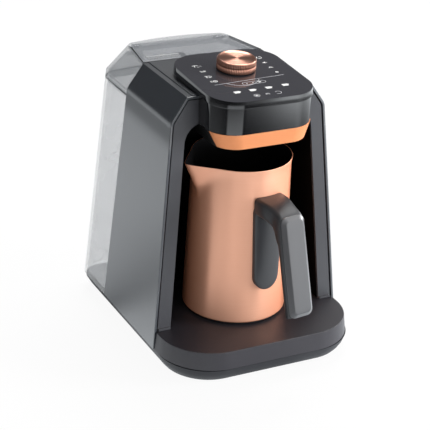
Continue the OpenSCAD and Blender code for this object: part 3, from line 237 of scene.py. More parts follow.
# the two colours of the mottle as sRGB hex, roughness, the grain's size and depth in mm, and what differs
# from the shader's own values
finishes = {
    # ABS under a satin lacquer: dark, with a soft wide sheen that turns pale at a flat angle
    "lacqueredShellAbs": ("31353B", "2E3238", 0.32, 1.6, 0.006,
                          {"specular": 1.0, "coat": 1.0, "coatRoughness": 0.26}),
    # ABS moulded in a finely blasted tool: even charcoal with a dull sheen
    "satinDarkAbs": ("37383C", "343539", 0.4, 1.2, 0.012, {"specular": 0.6}),
    # ABS moulded in a half-polished tool: it mirrors the pot faintly
    "semiGlossAbs": ("2A292E", "27262B", 0.4, 2.0, 0.006, {"specular": 0.55}),
    # ABS moulded in an etched tool: matt, with a fine sandy grain
    "grainedTrayAbs": ("26272B", "232428", 0.5, 1.0, 0.03, {"specular": 0.25}),
    # matt black ABS inside the niche: deep and lightless
    "blackNicheAbs": ("030303", "020202", 0.7, 1.0, 0.02, {"specular": 0.06}),
    # piano-black ABS from a polished tool: hard reflections on near black
    "pianoBlackAbs": ("0B0B0D", "08080A", 0.05, 6.0, 0.0, {"specular": 1.0, "coat": 1.0}),
    # the same on the panel's rim: its reflections are a little softer
    "pianoRimAbs": ("0E0E10", "0A0A0C", 0.1, 6.0, 0.0, {"specular": 1.0, "coat": 0.6}),
    # glass printed dark grey on its back: one flat tone under a clear, even gloss
    "backPrintedGlass": ("3E3E43", "3C3C41", 0.06, 30.0, 0.0, {"specular": 0.42}),
    # aluminium sheet, anodised satin rose: a warm sheen that mirrors nothing sharply
    "anodisedRoseSheet": ("DE9364", "D88B5C", 0.5, 0.9, 0.003, {"metallic": 0.55}),
    # the pot's inside, painted black as shade, with an eggshell sheen
    "potInsidePaintedShade": ("0A0A0B", "070708", 0.4, 0.6, 0.01, {}),
    # phenolic, moulded and lightly buffed: near black, with pale satin edges
    "satinBlackPhenolic": ("26272A", "222326", 0.38, 1.4, 0.01, {"specular": 0.7}),
    # ABS under a satin lacquer: dark grey, with bevels that catch the light
    "satinGreyAbs": ("2A2B2F", "27282C", 0.34, 1.4, 0.005,
                     {"specular": 1.0, "coat": 0.8, "coatRoughness": 0.3}),
    # smoke styrene acrylonitrile, moulded: clear and glossy with a grey tint, darker where walls overlap
    "smokeTankSan": ("E6E8EA", "DADDE0", 0.14, 26.0, 0.0, {"alpha": 0.32}),
    # the same in the cover's thicker wall: greyer and less clear
    "smokeCoverSan": ("B4B7BB", "A4A8AC", 0.1, 22.0, 0.0, {"alpha": 0.42}),
    # and in the flap, which lies over other parts: the greyest of the three
    "smokeFlapSan": ("A2A5AA", "92959A", 0.1, 22.0, 0.0, {"alpha": 0.42}),
    # painted shade: the same seen edge on, where so much of it in a row swallows the light, drawn as dark
    # strips that also stand for the shadow in narrow gaps
    "smokeEdgePaintedShade": ("1E2023", "1A1C1F", 0.3, 3.0, 0.0, {"alpha": 0.96}),
    # two-part ink, pad-printed on the glass: flat dull white, and quieter grey for the lines
    "whiteInk": ("F4F4F2", "E8E8E6", 0.5, 0.4, 0.002, {}),
    "greyInk": ("BEBEC1", "B2B2B5", 0.5, 0.4, 0.002, {}),
    # steel plate with a baked black coating: dull and faintly pebbled
    "blackCoatedPlate": ("161617", "101011", 0.45, 0.8, 0.02, {}),
    # moulded rubber: black with hardly any shine
    "blackRubber": ("161616", "121212", 0.75, 0.9, 0.03, {}),
    # zinc-plated steel: cool and bright, slightly frosted
    "zincPlatedSteel": ("B9BABD", "A8A9AC", 0.3, 0.8, 0.004, {"metallic": 1.0}),
    # steel sheath, annealed by its own heat: dull and brownish
    "annealedSheath": ("8C8579", "70695F", 0.42, 1.6, 0.01, {"metallic": 1.0}),
    # brass turned from the bar: bright yellow metal
    "turnedBrass": ("D2A85A", "C79C50", 0.28, 0.5, 0.004, {"metallic": 1.0}),
    # moulded nylon: black and slightly waxy
    "blackNylon": ("1B1B1C", "161617", 0.5, 1.0, 0.02, {}),
    # polypropylene moulded without pigment: milky white and waxy
    "naturalPolypropylene": ("DCDCD6", "D2D2CB", 0.4, 1.5, 0.01, {}),
    # the strainer's clear polypropylene, moulded: pale and hazy
    "clearStrainer": ("B4BEC6", "A8B2BA", 0.3, 1.5, 0.01, {"alpha": 0.8}),
    # acetal dyed blue, moulded: slick and even
    "blueAcetal": ("2F69A8", "2A619D", 0.35, 1.5, 0.01, {}),
    # polyester of the relay's case, moulded: a darker, glossier blue
    "bluePbt": ("274A86", "22427A", 0.3, 1.5, 0.01, {}),
    # glass epoxy board under solder resist: glossy green, a little uneven
    "greenSolderResist": ("1E6B40", "185A35", 0.25, 3.0, 0.02, {}),
    # lacquered copper wire, wound: deep copper, rough from its turns
    "lacqueredWinding": ("B87333", "9C5E28", 0.3, 0.6, 0.05, {"metallic": 0.8}),
    # silicone, extruded as hose: milky with a soft shine
    "milkySilicone": ("CDD4D8", "C2CACE", 0.35, 2.0, 0.01, {}),
    # silicone moulded red, for seals and heat-proof leads: dull
    "redSilicone": ("8B2A20", "7C241B", 0.5, 1.0, 0.01, {}),
}
finishOfSlot = {
    "shell_plastic": "lacqueredShellAbs", "frame_plastic": "satinDarkAbs", "deck_plastic": "semiGlossAbs",
    "base_plastic": "grainedTrayAbs", "niche_plastic": "blackNicheAbs", "head_gloss": "pianoBlackAbs",
    "rim_gloss": "pianoRimAbs", "panel_glass": "backPrintedGlass", "trim_metal": "anodisedRoseSheet",
    "knob_metal": "anodisedRoseSheet", "pot_metal": "anodisedRoseSheet",
    "handle_plastic": "satinBlackPhenolic", "insert_plastic": "satinGreyAbs",
    "tank_plastic": "smokeTankSan", "cover_plastic": "smokeCoverSan", "heater_metal": "blackCoatedPlate",
    "element_steel": "annealedSheath", "steel": "zincPlatedSteel", "brass_parts": "turnedBrass",
    "dark_parts": "blackNylon", "light_parts": "naturalPolypropylene",
    "strainer_plastic": "clearStrainer", "valve_blue": "blueAcetal", "relay_case": "bluePbt",
    "circuit_board": "greenSolderResist", "copper_winding": "lacqueredWinding",
    "silicone_hose": "milkySilicone", "red_seal": "redSilicone", "red_lead": "redSilicone",
    "rubber": "blackRubber",
}
mottleWidth = 25  # mm, of the broad mottle in every pigment
roughnessSpread = 0.1  # share by which the grain changes the roughness
finished = {}


def startMaterial(name):
    material = bpy.data.materials.new(name)
    material.use_nodes = True
    tree = material.node_tree
    tree.nodes.clear()
    shader = addNode(tree, "BsdfPrincipled")
    addNode(tree, "OutputMaterial", links={"Surface": shader})
    return material, tree, shader


def finishMaterial(name):
    if name in finished:
        return finished[name]
    colour, second, roughness, grainSize, grainDepth, more = finishes[name]
    material, tree, shader = startMaterial(name)
    where = addNode(tree, "TexCoord")
    mottle = addNode(tree, "TexNoise", {"Scale": 1 / (mottleWidth * mm), "Detail": 3},
                     {"Vector": where.outputs["Object"]})
    tint = addNode(tree, "Mix", {6: linearColour(colour), 7: linearColour(second)},
                   {0: mottle.outputs["Fac"]}, data_type="RGBA")
    tree.links.new(tint.outputs[2], shader.inputs["Base Color"])
    grain = addNode(tree, "TexNoise", {"Scale": 1 / (grainSize * mm), "Detail": 2},
                    {"Vector": where.outputs["Object"]})
    rough = addNode(tree, "MapRange", {"To Min": roughness * (1 - roughnessSpread),
                    "To Max": roughness * (1 + roughnessSpread)}, {"Value": grain.outputs["Fac"]})
    tree.links.new(rough.outputs[0], shader.inputs["Roughness"])
    if grainDepth:
        bump = addNode(tree, "Bump", {"Distance": grainDepth * mm, "Strength": 1.0},
                       {"Height": grain.outputs["Fac"]})
        tree.links.new(bump.outputs[0], shader.inputs["Normal"])
    shader.inputs["Metallic"].default_value = more.get("metallic", 0.0)
    shader.inputs["Specular IOR Level"].default_value = more.get("specular", 0.5)
    shader.inputs["Coat Weight"].default_value = more.get("coat", 0.0)
    shader.inputs["Coat Roughness"].default_value = more.get("coatRoughness", 0.03)
    shader.inputs["Alpha"].default_value = more.get("alpha", 1.0)
    finished[name] = material
    return material


def setMaterials(obj, *materials):
    # clearing the list would also forget which face has which
    for index, material in enumerate(materials):
        if index < len(obj.data.materials):
            obj.data.materials[index] = material
        else:
            obj.data.materials.append(material)


def newPiece(name, mesh, body, slot, *nodes):
    obj = bpy.data.objects.new(name, mesh)
    collection.objects.link(obj)
    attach(obj, body)
    if nodes:
        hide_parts(*nodes)
    return obj


def meshOfRings(name, rings, capStart=False, capEnd=False):
    # quads between neighbouring rings of equal length
    count = len(rings[0])
    points = [Vector(p) * mm for ring in rings for p in ring]
    faces = []
    for i in range(len(rings) - 1):
        for k in range(count):
            n = (k + 1) % count
            faces.append((i * count + k, i * count + n, (i + 1) * count + n, (i + 1) * count + k))
    if capStart:
        faces.append(tuple(range(count - 1, -1, -1)))
    if capEnd:
        faces.append(tuple((len(rings) - 1) * count + k for k in range(count)))
    mesh = bpy.data.meshes.new(name)
    mesh.from_pydata(points, [], faces)
    mesh.update()
    return mesh


def bandEdges(path, width):
    # both edges of a band of that width along a path, seen from above
    edges = []
    for k, point in enumerate(path):
        before, after = path[max(k - 1, 0)], path[min(k + 1, len(path) - 1)]
        length = math.hypot(after[0] - before[0], after[1] - before[1])
        asideX = (before[1] - after[1]) / length * width / 2
        asideY = (after[0] - before[0]) / length * width / 2
        edges.append(((point[0] + asideX, point[1] + asideY), (point[0] - asideX, point[1] - asideY)))
    return edges


def barMesh(name, path, width):
    # a flat bar along a path of x, y, top and foot, square to it seen from above
    rings = []
    for (x, y, top, foot), (left, right) in zip(path, bandEdges(path, width)):
        rings.append([(*left, top), (*right, top), (*right, foot), (*left, foot)])
    return meshOfRings(name, rings, capStart=True, capEnd=True)


def smooth(mesh, degrees):
    # edges that turn by more than that stay sharp
    mesh.polygons.foreach_set("use_smooth", [True] * len(mesh.polygons))
    mesh.set_sharp_from_angle(angle=math.radians(degrees))


print("materials on the CAD nodes")
for nodeName, nodeObject in frame["nodes"].items():
    setMaterials(nodeObject, finishMaterial(finishOfSlot[slotOf[nodeName]]))

# the tilted control panel that carries the rim, the knob and the ink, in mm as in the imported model
panel = {"y": 38.3, "z": 242.2, "tilt": 2.9, "width": 97, "length": 104.5, "radius": 26}
tilt = math.radians(panel["tilt"])


def onPanel(x, v, h):
    # x across, v from the rear edge towards the front, h out of the panel
    return (x, panel["y"] - v * math.cos(tilt) - h * math.sin(tilt),
            panel["z"] - v * math.sin(tilt) + h * math.cos(tilt))


def onCircle(x, y, radius, degrees):
    angle = math.radians(degrees)
    return (x + radius * math.cos(angle), y + radius * math.sin(angle))


def roundedRing(width, length, radius, steps=12):
    # outline centred in x that runs from v = 0 to v = length
    half, end = width / 2 - radius, length - radius
    corners = ((half, end, 0), (-half, end, 90), (-half, radius, 180), (half, radius, 270))
    return [onCircle(x, v, radius, start + 90 * k / steps) for x, v, start in corners
            for k in range(steps + 1)]


print("knob")
# v is its axis on the panel, and each of the knurl's ridges is drawn in some steps
knob = {"radius": 16.6, "height": 9.4, "gap": 0.8, "v": 39.2, "ridges": 72, "ridge": 0.42, "ridgeSteps": 6}


def buildKnob():
    edge, low, high = knob["radius"], knob["gap"], knob["gap"] + knob["height"]
    # radius, height, share of the knurl: foot, side with a fine groove, rounded edge, dished face
    profile = [(edge - 1.6, low + 0.02, 0), (edge - 0.7, low + 0.02, 0), (edge - 0.35, low + 0.12, 0.3),
               (edge, low + 0.4, 1), (edge, low + 2.0, 1), (edge, low + 4.0, 1),
               (edge - 0.25, low + 4.2, 0.7), (edge - 0.25, low + 4.45, 0.7),
               (edge, low + 4.65, 1), (edge, low + 6.6, 1), (edge, high - 1.0, 1),
               (edge - 0.1, high - 0.7, 0.3), (edge - 0.35, high - 0.45, 0), (edge - 0.75, high - 0.1, 0),
               (edge - 1.1, high, 0), (edge - 1.6, high, 0), (edge - 1.95, high - 0.12, 0),
               (edge - 2.25, high - 0.4, 0)]
    profile += [(radius, high - 0.4, 0) for radius in (12, 9, 6, 3, 1, 0.02)]
    steps = knob["ridges"] * knob["ridgeSteps"]
    rings = []
    for radius, height, share in profile:
        ring = []
        for k in range(steps):
            angle = 2 * math.pi * k / steps
            wave = (1 - math.cos(angle * knob["ridges"])) / 2
            reach = radius - knob["ridge"] * share * wave
            ring.append(onPanel(reach * math.cos(angle), knob["v"] - reach * math.sin(angle), height))
        rings.append(ring)
    mesh = meshOfRings("spunKnobCap", rings)
    smooth(mesh, 50)
    return newPiece("spunKnobCap", mesh, "knob", "knob_metal", "knob_cap")


# anodised aluminium turned on its face: the fine rings fan the light out into a bow tie. Real rings are
# about 0.1 mm apart and are drawn coarser, so that they show
spunAluminium = {"colour": "C8927E", "second": "D6A28E", "roughness": 0.3, "anisotropy": 0.85,
                 "ringPitch": 0.35, "ringDepth": 0.004, "ringStrength": 0.6,  # mm, mm, share
                 "specksPerMm": 0.9}


def spunMaterial():
    material, tree, shader = startMaterial("turnedRoseAluminium")
    where = addNode(tree, "TexCoord")
    centre = addNode(tree, "VectorMath", {1: [c * mm for c in onPanel(0, knob["v"], 0)]},
                     {0: where.outputs["Object"]}, operation="SUBTRACT")
    turned = addNode(tree, "VectorRotate", {"Angle": -tilt}, {"Vector": centre}, rotation_type="X_AXIS")
    flat = addNode(tree, "VectorMath", {1: (1, 1, 0)}, {0: turned}, operation="MULTIPLY")
    radius = addNode(tree, "VectorMath", links={0: flat}, operation="LENGTH")
    wave = addNode(tree, "Math", {1: 2 * math.pi / (spunAluminium["ringPitch"] * mm)},
                   {0: radius.outputs["Value"]}, operation="MULTIPLY")
    rings = addNode(tree, "Math", links={0: wave}, operation="SINE")
    grain = addNode(tree, "TexNoise", {"Scale": spunAluminium["specksPerMm"] / mm, "Detail": 2},
                    {"Vector": flat})
    height = addNode(tree, "Math", links={0: rings, 1: grain.outputs["Fac"]}, operation="ADD")
    bump = addNode(tree, "Bump", {"Distance": spunAluminium["ringDepth"] * mm,
                   "Strength": spunAluminium["ringStrength"]}, {"Height": height})
    tint = addNode(tree, "Mix", {6: linearColour(spunAluminium["colour"]),
                   7: linearColour(spunAluminium["second"])}, {0: grain.outputs["Fac"]}, data_type="RGBA")
    # the lines run round the knob's axis, and the highlight stretches square to them
    lines = addNode(tree, "VectorMath", {0: (0, -math.sin(tilt), math.cos(tilt))},
                    {1: centre}, operation="CROSS_PRODUCT")
    face = addNode(tree, "NewGeometry")
    square = addNode(tree, "VectorMath", links={0: face.outputs["Normal"], 1: lines},
                     operation="CROSS_PRODUCT")
    along = addNode(tree, "VectorMath", links={0: square}, operation="NORMALIZE")
    tree.links.new(along.outputs[0], shader.inputs["Tangent"])
    tree.links.new(tint.outputs[2], shader.inputs["Base Color"])
    tree.links.new(bump.outputs[0], shader.inputs["Normal"])
    shader.inputs["Metallic"].default_value = 1.0
    shader.inputs["Roughness"].default_value = spunAluminium["roughness"]
    shader.inputs["Anisotropic"].default_value = spunAluminium["anisotropy"]
    return material


setMaterials(buildKnob(), spunMaterial())

print("pot")
# y and z of its foot, radius at the foot and at the rim, height of the ring under it, turn in degrees
pot = {"y": -20, "z": 31.3, "base": 45, "rim": 42.1, "height": 141.5, "wall": 1.2, "ring": 1.2, "turn": 7}
# the spout grows over its drop from the root's radius to the tip's; its straight sides fall back 28 for
# each 30 that they go aside, with a slightly rounded tip and a soft blend into the wall
spout = {"drop": 34, "root": 40, "tip": 57, "fall": 28, "aside": 30, "halfAngle": 43, "rounding": 0.05,
         "blend": 3.0}


def inPot(x, y, z):
    turn = math.radians(pot["turn"])
    return (x * math.cos(turn) - y * math.sin(turn), pot["y"] + x * math.sin(turn) + y * math.cos(turn),
            pot["z"] + z)


def potRadius(z):
    return pot["base"] + (pot["rim"] - pot["base"]) * z / pot["height"]


def spoutRadius(phi, z):
    t = (z - (pot["height"] - spout["drop"])) / spout["drop"]
    if t <= 0:
        return 0
    phi = min(abs(phi), math.radians(spout["halfAngle"]))
    side = math.sqrt(math.sin(phi) ** 2 + spout["rounding"] ** 2) - spout["rounding"] * math.cos(phi)
    reach = spout["root"] + (spout["tip"] - spout["root"]) * t
    return reach * spout["aside"] / (spout["aside"] * math.cos(phi) + spout["fall"] * side)


def softMax(a, b, k):
    # the larger of both, rounded where they differ by less than k
    h = max(k - abs(a - b), 0) / k
    return max(a, b) + h * h * k / 4


def potAngles():
    # coarse round the back, finer at the spout's sides and finest at its tip
    back = [-math.pi + math.radians(a) for a in np.arange(0, 120, 2.5)]
    side = [math.radians(a) for a in np.arange(-60, -14, 1.2)]
    tip = [math.radians(a) for a in np.arange(-14, 0, 0.6)]
    half = [a for a in back if a < side[0] - 0.01] + side + tip
    return half + [0] + [-a for a in reversed(half) if a > -math.pi + 0.001]


def buildPot():
    low, high, wall = pot["ring"], pot["height"], pot["wall"]
    angles = potAngles()
    # height, thickness behind the skin and a further inset: foot, wall, spout and rim, then down inside
    outside = [(low, 0, 14), (low, 0, 2.2), (low + 0.12, 0, 1.5), (low + 0.45, 0, 0.75),
               (low + 1.0, 0, 0.25), (low + 1.7, 0, 0.05), (low + 2.6, 0, 0)]
    outside += [(z, 0, 0) for z in np.linspace(8, high - 36, 12)]
    outside += [(z, 0, 0) for z in np.linspace(high - spout["drop"], high - 1.2, 26)]
    outside += [(high - 0.7, 0, 0.0), (high - 0.3, 0, 0.08), (high - 0.06, 0, 0.28), (high, 0, 0.5)]
    inside = [(high, wall, -0.45), (high - 0.08, wall, -0.2), (high - 0.35, wall, 0)]
    inside += [(z, wall, 0) for z in np.linspace(high - 1.5, high - spout["drop"], 20)]
    inside += [(z, wall, 0) for z in np.linspace(high - 40, 12, 8)]
    inside += [(low + 6, wall, 0), (low + 3.4, wall, 0.9), (low + 2.2, wall, 2.2), (low + 1.4, wall, 5),
               (low + 1.2, wall, 20), (low + 1.2, wall, 40)]
    rings = []
    for z, thick, inset in outside + inside:
        ring = []
        for phi in angles:
            r = softMax(potRadius(z), spoutRadius(phi, z), spout["blend"]) - thick - inset
            ring.append(inPot(-r * math.cos(phi), r * math.sin(phi), z))
        rings.append(ring)
    mesh = meshOfRings("spunPotShell", rings, capStart=True, capEnd=True)
    smooth(mesh, 60)
    obj = newPiece("spunPotShell", mesh, "pot", "pot_metal", "pot_body")
    # the second material is the painted shade inside, on all faces past the rim but the outer floor's
    count = len(angles)
    outerFloor = count * (len(rings) - 1)
    for index, polygon in enumerate(mesh.polygons):
        polygon.material_index = 1 if index // count >= len(outside) and index != outerFloor else 0
    return obj


# satin anodised aluminium, faintly brushed round the pot: upright bands of light, and painted shade that turns
# the colour darker and deeper towards the edges seen at a flat angle. Real brushing is finer and is drawn
# coarser, so that it shows
brushedPot = {"colour": "F2B89C", "second": "EEB092", "edgeShade": "D87C50", "roughness": 0.4, "anisotropy": 0.8,
              "metallic": 0.62, "edgeShadeFrom": 0.2, "edgeShadeTo": 0.65, "edgeShadeShare": 0.6,
              "linesPerMm": 2.6, "streaksPerMm": 0.03, "lineDepth": 0.002, "lineStrength": 0.35}


def brushedPotMaterial():
    material, tree, shader = startMaterial("brushedRoseAluminium")
    where = addNode(tree, "TexCoord")
    centre = addNode(tree, "VectorMath", {1: (0, pot["y"] * mm, 0)}, {0: where.outputs["Object"]},
                     operation="SUBTRACT")
    around, up = brushedPot["streaksPerMm"] / mm, brushedPot["linesPerMm"] / mm
    lines = addNode(tree, "VectorMath", {1: (around, around, up)}, {0: centre}, operation="MULTIPLY")
    grain = addNode(tree, "TexNoise", {"Scale": 1.0, "Detail": 3}, {"Vector": lines})
    tint = addNode(tree, "Mix", {6: linearColour(brushedPot["colour"]),
                   7: linearColour(brushedPot["second"])}, {0: grain.outputs["Fac"]}, data_type="RGBA")
    # painted shade: where the pot is seen at a flat angle, its colour is mixed towards a darker, deeper orange
    facing = addNode(tree, "LayerWeight", {"Blend": 0.5})
    depth = addNode(tree, "MapRange", {"From Min": brushedPot["edgeShadeFrom"],
                    "From Max": brushedPot["edgeShadeTo"], "To Max": brushedPot["edgeShadeShare"]},
                    {"Value": facing.outputs["Facing"]})
    edgeShade = addNode(tree, "Mix", {7: linearColour(brushedPot["edgeShade"])},
                   {0: depth, 6: tint.outputs[2]}, data_type="RGBA")
    bump = addNode(tree, "Bump", {"Distance": brushedPot["lineDepth"] * mm,
                   "Strength": brushedPot["lineStrength"]}, {"Height": grain.outputs["Fac"]})
    # upright, square to the lines that run round the pot
    along = addNode(tree, "CombineXYZ", {"Z": 1.0})
    tree.links.new(along.outputs[0], shader.inputs["Tangent"])
    tree.links.new(edgeShade.outputs[2], shader.inputs["Base Color"])
    tree.links.new(bump.outputs[0], shader.inputs["Normal"])
    shader.inputs["Metallic"].default_value = brushedPot["metallic"]
    shader.inputs["Roughness"].default_value = brushedPot["roughness"]
    shader.inputs["Anisotropic"].default_value = brushedPot["anisotropy"]
    return material


setMaterials(buildPot(), brushedPotMaterial(), finishMaterial("potInsidePaintedShade"))

print("handle")
# the grip's top as distance from the pot's axis and height over its foot, and its lean in degrees
grip = {"top": (73.8, 112.5), "lean": 16, "length": 85.3, "thick": 8.6, "width": 23}
# the arm is as wide as the plate at the pot and narrows to the grip between two distances from the axis
arm = {"halfWidth": 14.2, "narrows": (45.6, 67.8), "corner": 3.2}
# the plate that carries the arm on the pot's wall
mount = {"topEdge": 118, "lowEdge": 33, "topRadius": 14.3, "lowRadius": 12.3, "thick": 4}
insert = {"thick": 3.6, "corner": 5.5}


def gripPoint(along, inwards):
    lean = math.radians(grip["lean"])
    down, into = (math.sin(lean), -math.cos(lean)), (-math.cos(lean), -math.sin(lean))
    return (grip["top"][0] + down[0] * along + into[0] * inwards,
            grip["top"][1] + down[1] * along + into[1] * inwards)


def armStations():
    # outer and inner edge as distance from the pot's axis and height: arm, bend, grip, rounded foot
    length, thick = grip["length"], grip["thick"]
    stations = [((41.6, 118), (41.9, 103)), ((46, 118), (46, 103.1)), ((50.6, 117.9), (53.5, 103.2)),
                ((57.5, 117.2), (59.2, 102.0)), ((64, 115.9), (63.4, 99.6)), ((69.4, 114.3), (66.2, 96.6)),
                ((72.6, 112.9), (68.0, 93.4)), (gripPoint(1.2, 0), (69.3, 91.0)),
                (gripPoint(5, 0), (70.4, 89.2)), (gripPoint(11, 0), (71.5, 87.4)),
                (gripPoint(18, 0), gripPoint(24, thick + 0.15)), (gripPoint(28, 0), gripPoint(30, thick))]
    stations += [(gripPoint(s, 0), gripPoint(s + 0.5, thick)) for s in (36, 46, 58, 70)]
    stations += [(gripPoint(length - up, inset), gripPoint(length - up, thick - inset))
                 for up, inset in ((3, 0), (1.2, 0.5), (0.3, 1.4), (0, 2.6))]
    # Catmull-Rom between the stations
    between = []
    for i in range(len(stations) - 1):
        near = [np.array(stations[max(0, min(len(stations) - 1, i + d))]) for d in (-1, 0, 1, 2)]
        for t in (0, 0.25, 0.5, 0.75):
            between.append(0.5 * (2 * near[1] + (near[2] - near[0]) * t
                                  + (2 * near[0] - 5 * near[1] + 4 * near[2] - near[3]) * t * t
                                  + (3 * near[1] - near[0] - 3 * near[2] + near[3]) * t ** 3))
    return between + [np.array(stations[-1])]


def buildArm():
    start, end = arm["narrows"]
    rings = []
    for outer, inner in armStations():
        share = min(max((outer[0] - start) / (end - start), 0), 1)
        share = share * share * (3 - 2 * share)
        half = arm["halfWidth"] + (grip["width"] / 2 - arm["halfWidth"]) * share
        middle, across = (outer + inner) / 2, (outer - inner) / 2
        size = float(np.linalg.norm(across))
        corner = min(arm["corner"], size * 0.8)
        ring = []
        for sideX, sideY, first in ((1, 1, 0), (-1, 1, 90), (-1, -1, 180), (1, -1, 270)):
            for k in range(7):
                angle = math.radians(first + 15 * k)
                x = sideX * (half - corner) + corner * math.cos(angle)
                y = sideY * (size - corner) + corner * math.sin(angle)
                place = middle + across / size * y
                ring.append(inPot(x, -place[0], place[1]))
        rings.append(ring)
    mesh = meshOfRings("mouldedHandleArm", rings, capStart=True, capEnd=True)
    smooth(mesh, 40)
    return newPiece("mouldedHandleArm", mesh, "pot", "handle_plastic", "pot_handle")


def buildMountPlate():
    thick = mount["thick"]
    top = (mount["topEdge"] - mount["topRadius"], mount["topRadius"])
    low = (mount["lowEdge"] + mount["lowRadius"], mount["lowRadius"])
    # two round ends, each with the straight side that follows it
    outline = []
    for (z, radius), (otherZ, otherRadius), first, side in ((top, low, 0, -1), (low, top, 180, 1)):
        outline += [onCircle(0, z, radius, first + 180 * k / 24) for k in range(25)]
        outline += [(side * (radius + (otherRadius - radius) * k / 12), z + (otherZ - z) * k / 12)
                    for k in range(1, 12)]
    rings = []
    for share, rise in ((1, 0.12), (1, thick - 0.9), (0.985, thick - 0.45), (0.955, thick - 0.15),
                        (0.9, thick), (0.7, thick), (0.4, thick), (0.12, thick)):
        ring = []
        for x, z in outline:
            spine = min(max(z, low[0]), top[0])
            px, pz = x * share, spine + (z - spine) * share
            radius = potRadius(pz) + rise
            ring.append(inPot(px, -math.sqrt(radius * radius - px * px), pz))
        rings.append(ring)
    mesh = meshOfRings("curvedMountPlate", rings, capEnd=True)
    smooth(mesh, 40)
    return newPiece("curvedMountPlate", mesh, "pot", "handle_plastic", "pot_handle")


def buildInsert():
    thick = insert["thick"]
    rings = []
    for inset, height in ((0, 0.05), (0, 0.55), (0.12, 0.82), (0.4, 1.05), (2.9, thick - 0.4),
                          (3.15, thick - 0.2), (3.5, thick - 0.05), (4.2, thick), (7.5, thick)):
        corner = max(insert["corner"] - inset * 0.66, 1.2)
        ring = []
        for x, s in roundedRing(grip["width"] - 2 * inset, grip["length"] - 2 * inset, corner):
            place = gripPoint(s + inset, -height)
            ring.append(inPot(x, -place[0], place[1]))
        rings.append(ring)
    mesh = meshOfRings("bevelledGripInsert", rings, capStart=True, capEnd=True)
    smooth(mesh, 28)
    return newPiece("bevelledGripInsert", mesh, "pot", "insert_plastic", "handle_insert")


for piece in (buildArm(), buildMountPlate()):
    setMaterials(piece, finishMaterial("satinBlackPhenolic"))
setMaterials(buildInsert(), finishMaterial("satinGreyAbs"))

print("moulded edges")
# size of the rounded edges in mm on each solid; those with none are only shaded evenly
mouldedEdges = {"outer_shell": 0.5, "top_plate": 0.15, "front_frame": 0.25, "base_deck": 0.7,
                "base_tray": 0.3, "head_housing": 0.0, "niche_liner": 0.0, "metal_trim": 0.0,
                "tank_flap": 0.3}
# mm within which points are one, and degrees for flat seams, for edges to round and for even shading
edgeFinding = {"weld": 0.004, "flat": 0.4, "sharp": 24, "shading": 40}


def dressSolid(node, bevel):
    bm = bmesh.new()
    bm.from_mesh(frame["nodes"][node].data)
    bmesh.ops.remove_doubles(bm, verts=bm.verts, dist=edgeFinding["weld"] * mm)
    bmesh.ops.dissolve_limit(bm, angle_limit=math.radians(edgeFinding["flat"]), verts=bm.verts,
                             edges=bm.edges)
    if bevel:
        limit = math.radians(edgeFinding["sharp"])
        sharp = [e for e in bm.edges if len(e.link_faces) == 2 and e.calc_face_angle(0) > limit]
        bmesh.ops.bevel(bm, geom=sharp, offset=bevel * mm, offset_type="OFFSET", segments=2, profile=0.5,
                        affect="EDGES", clamp_overlap=True)
    mesh = bpy.data.meshes.new(node)
    bm.to_mesh(mesh)
    bm.free()
    smooth(mesh, edgeFinding["shading"])
    obj = newPiece("dressed_" + node, mesh, bodyOf[node], slotOf[node], node)
    obj.modifiers.new("evenNormals", "WEIGHTED_NORMAL").keep_sharp = True
    setMaterials(obj, finishMaterial(finishOfSlot[slotOf[node]]))


# the lacquered wall's gloss turns up softly under the shoulder, as over a wide bend: heights in mm, and the
# share of the turn at its most
shellBend = {"start": 183, "most": 205, "end": 210, "turn": 0.55}


def softBendMaterial():
    material = finishMaterial("lacqueredShellAbs").copy()
    material.name = "lacqueredShellAbsBend"
    tree = material.node_tree
    shader = next(node for node in tree.nodes if node.type == "BSDF_PRINCIPLED")
    bump = next(node for node in tree.nodes if node.type == "BUMP")
    place = addNode(tree, "NewGeometry")
    axes = addNode(tree, "SeparateXYZ", links={0: place.outputs["Position"]})
    rise = addNode(tree, "MapRange", {"From Min": shellBend["start"] * mm,
                   "From Max": shellBend["most"] * mm, "To Max": shellBend["turn"]},
                   {"Value": axes.outputs["Z"]}, interpolation_type="SMOOTHSTEP")
    fall = addNode(tree, "MapRange", {"From Min": shellBend["most"] * mm,
                   "From Max": shellBend["end"] * mm, "To Min": 1, "To Max": 0},
                   {"Value": axes.outputs["Z"]}, interpolation_type="SMOOTHSTEP")
    lift = addNode(tree, "Math", links={0: rise, 1: fall}, operation="MULTIPLY")
    up = addNode(tree, "CombineXYZ", links={"Z": lift})
    turned = addNode(tree, "VectorMath", links={0: place.outputs["Normal"], 1: up}, operation="ADD")
    normal = addNode(tree, "VectorMath", links={0: turned}, operation="NORMALIZE")
    tree.links.new(normal.outputs[0], bump.inputs["Normal"])
    tree.links.new(bump.outputs[0], shader.inputs["Normal"])
    return material


for nodeName, bevelSize in mouldedEdges.items():
    dressSolid(nodeName, bevelSize)
setMaterials(bpy.data.objects["dressed_outer_shell"], softBendMaterial())

print("panel rim")
# the thin neck under the rim: its middle line lies 3.9 mm inside the panel's edge, in mm
neck = {"inset": 3.9, "thick": 2.2, "corner": 22.1, "front": -19.4, "foot": 232.3, "drop": 6.5}


def buildRim():
    # inset and height: foot, drafted side, thin top edge
    profile = [(2.2, -6.6), (1.15, -6.6), (0.35, -6.2), (0.05, -5.9), (0.0, -5.7), (0.78, -0.02),
               (0.9, -0.02), (0.92, -0.4)]
    rings = []
    for inset, height in profile:
        outline = roundedRing(panel["width"] - 2 * inset, panel["length"] - 2 * inset,
                              panel["radius"] - inset, 20)
        rings.append([onPanel(x, v + inset, height) for x, v in outline])
    mesh = meshOfRings("draftedPanelRim", rings)
    smooth(mesh, 30)
    return newPiece("draftedPanelRim", mesh, "housing", "rim_gloss", "panel_frame")


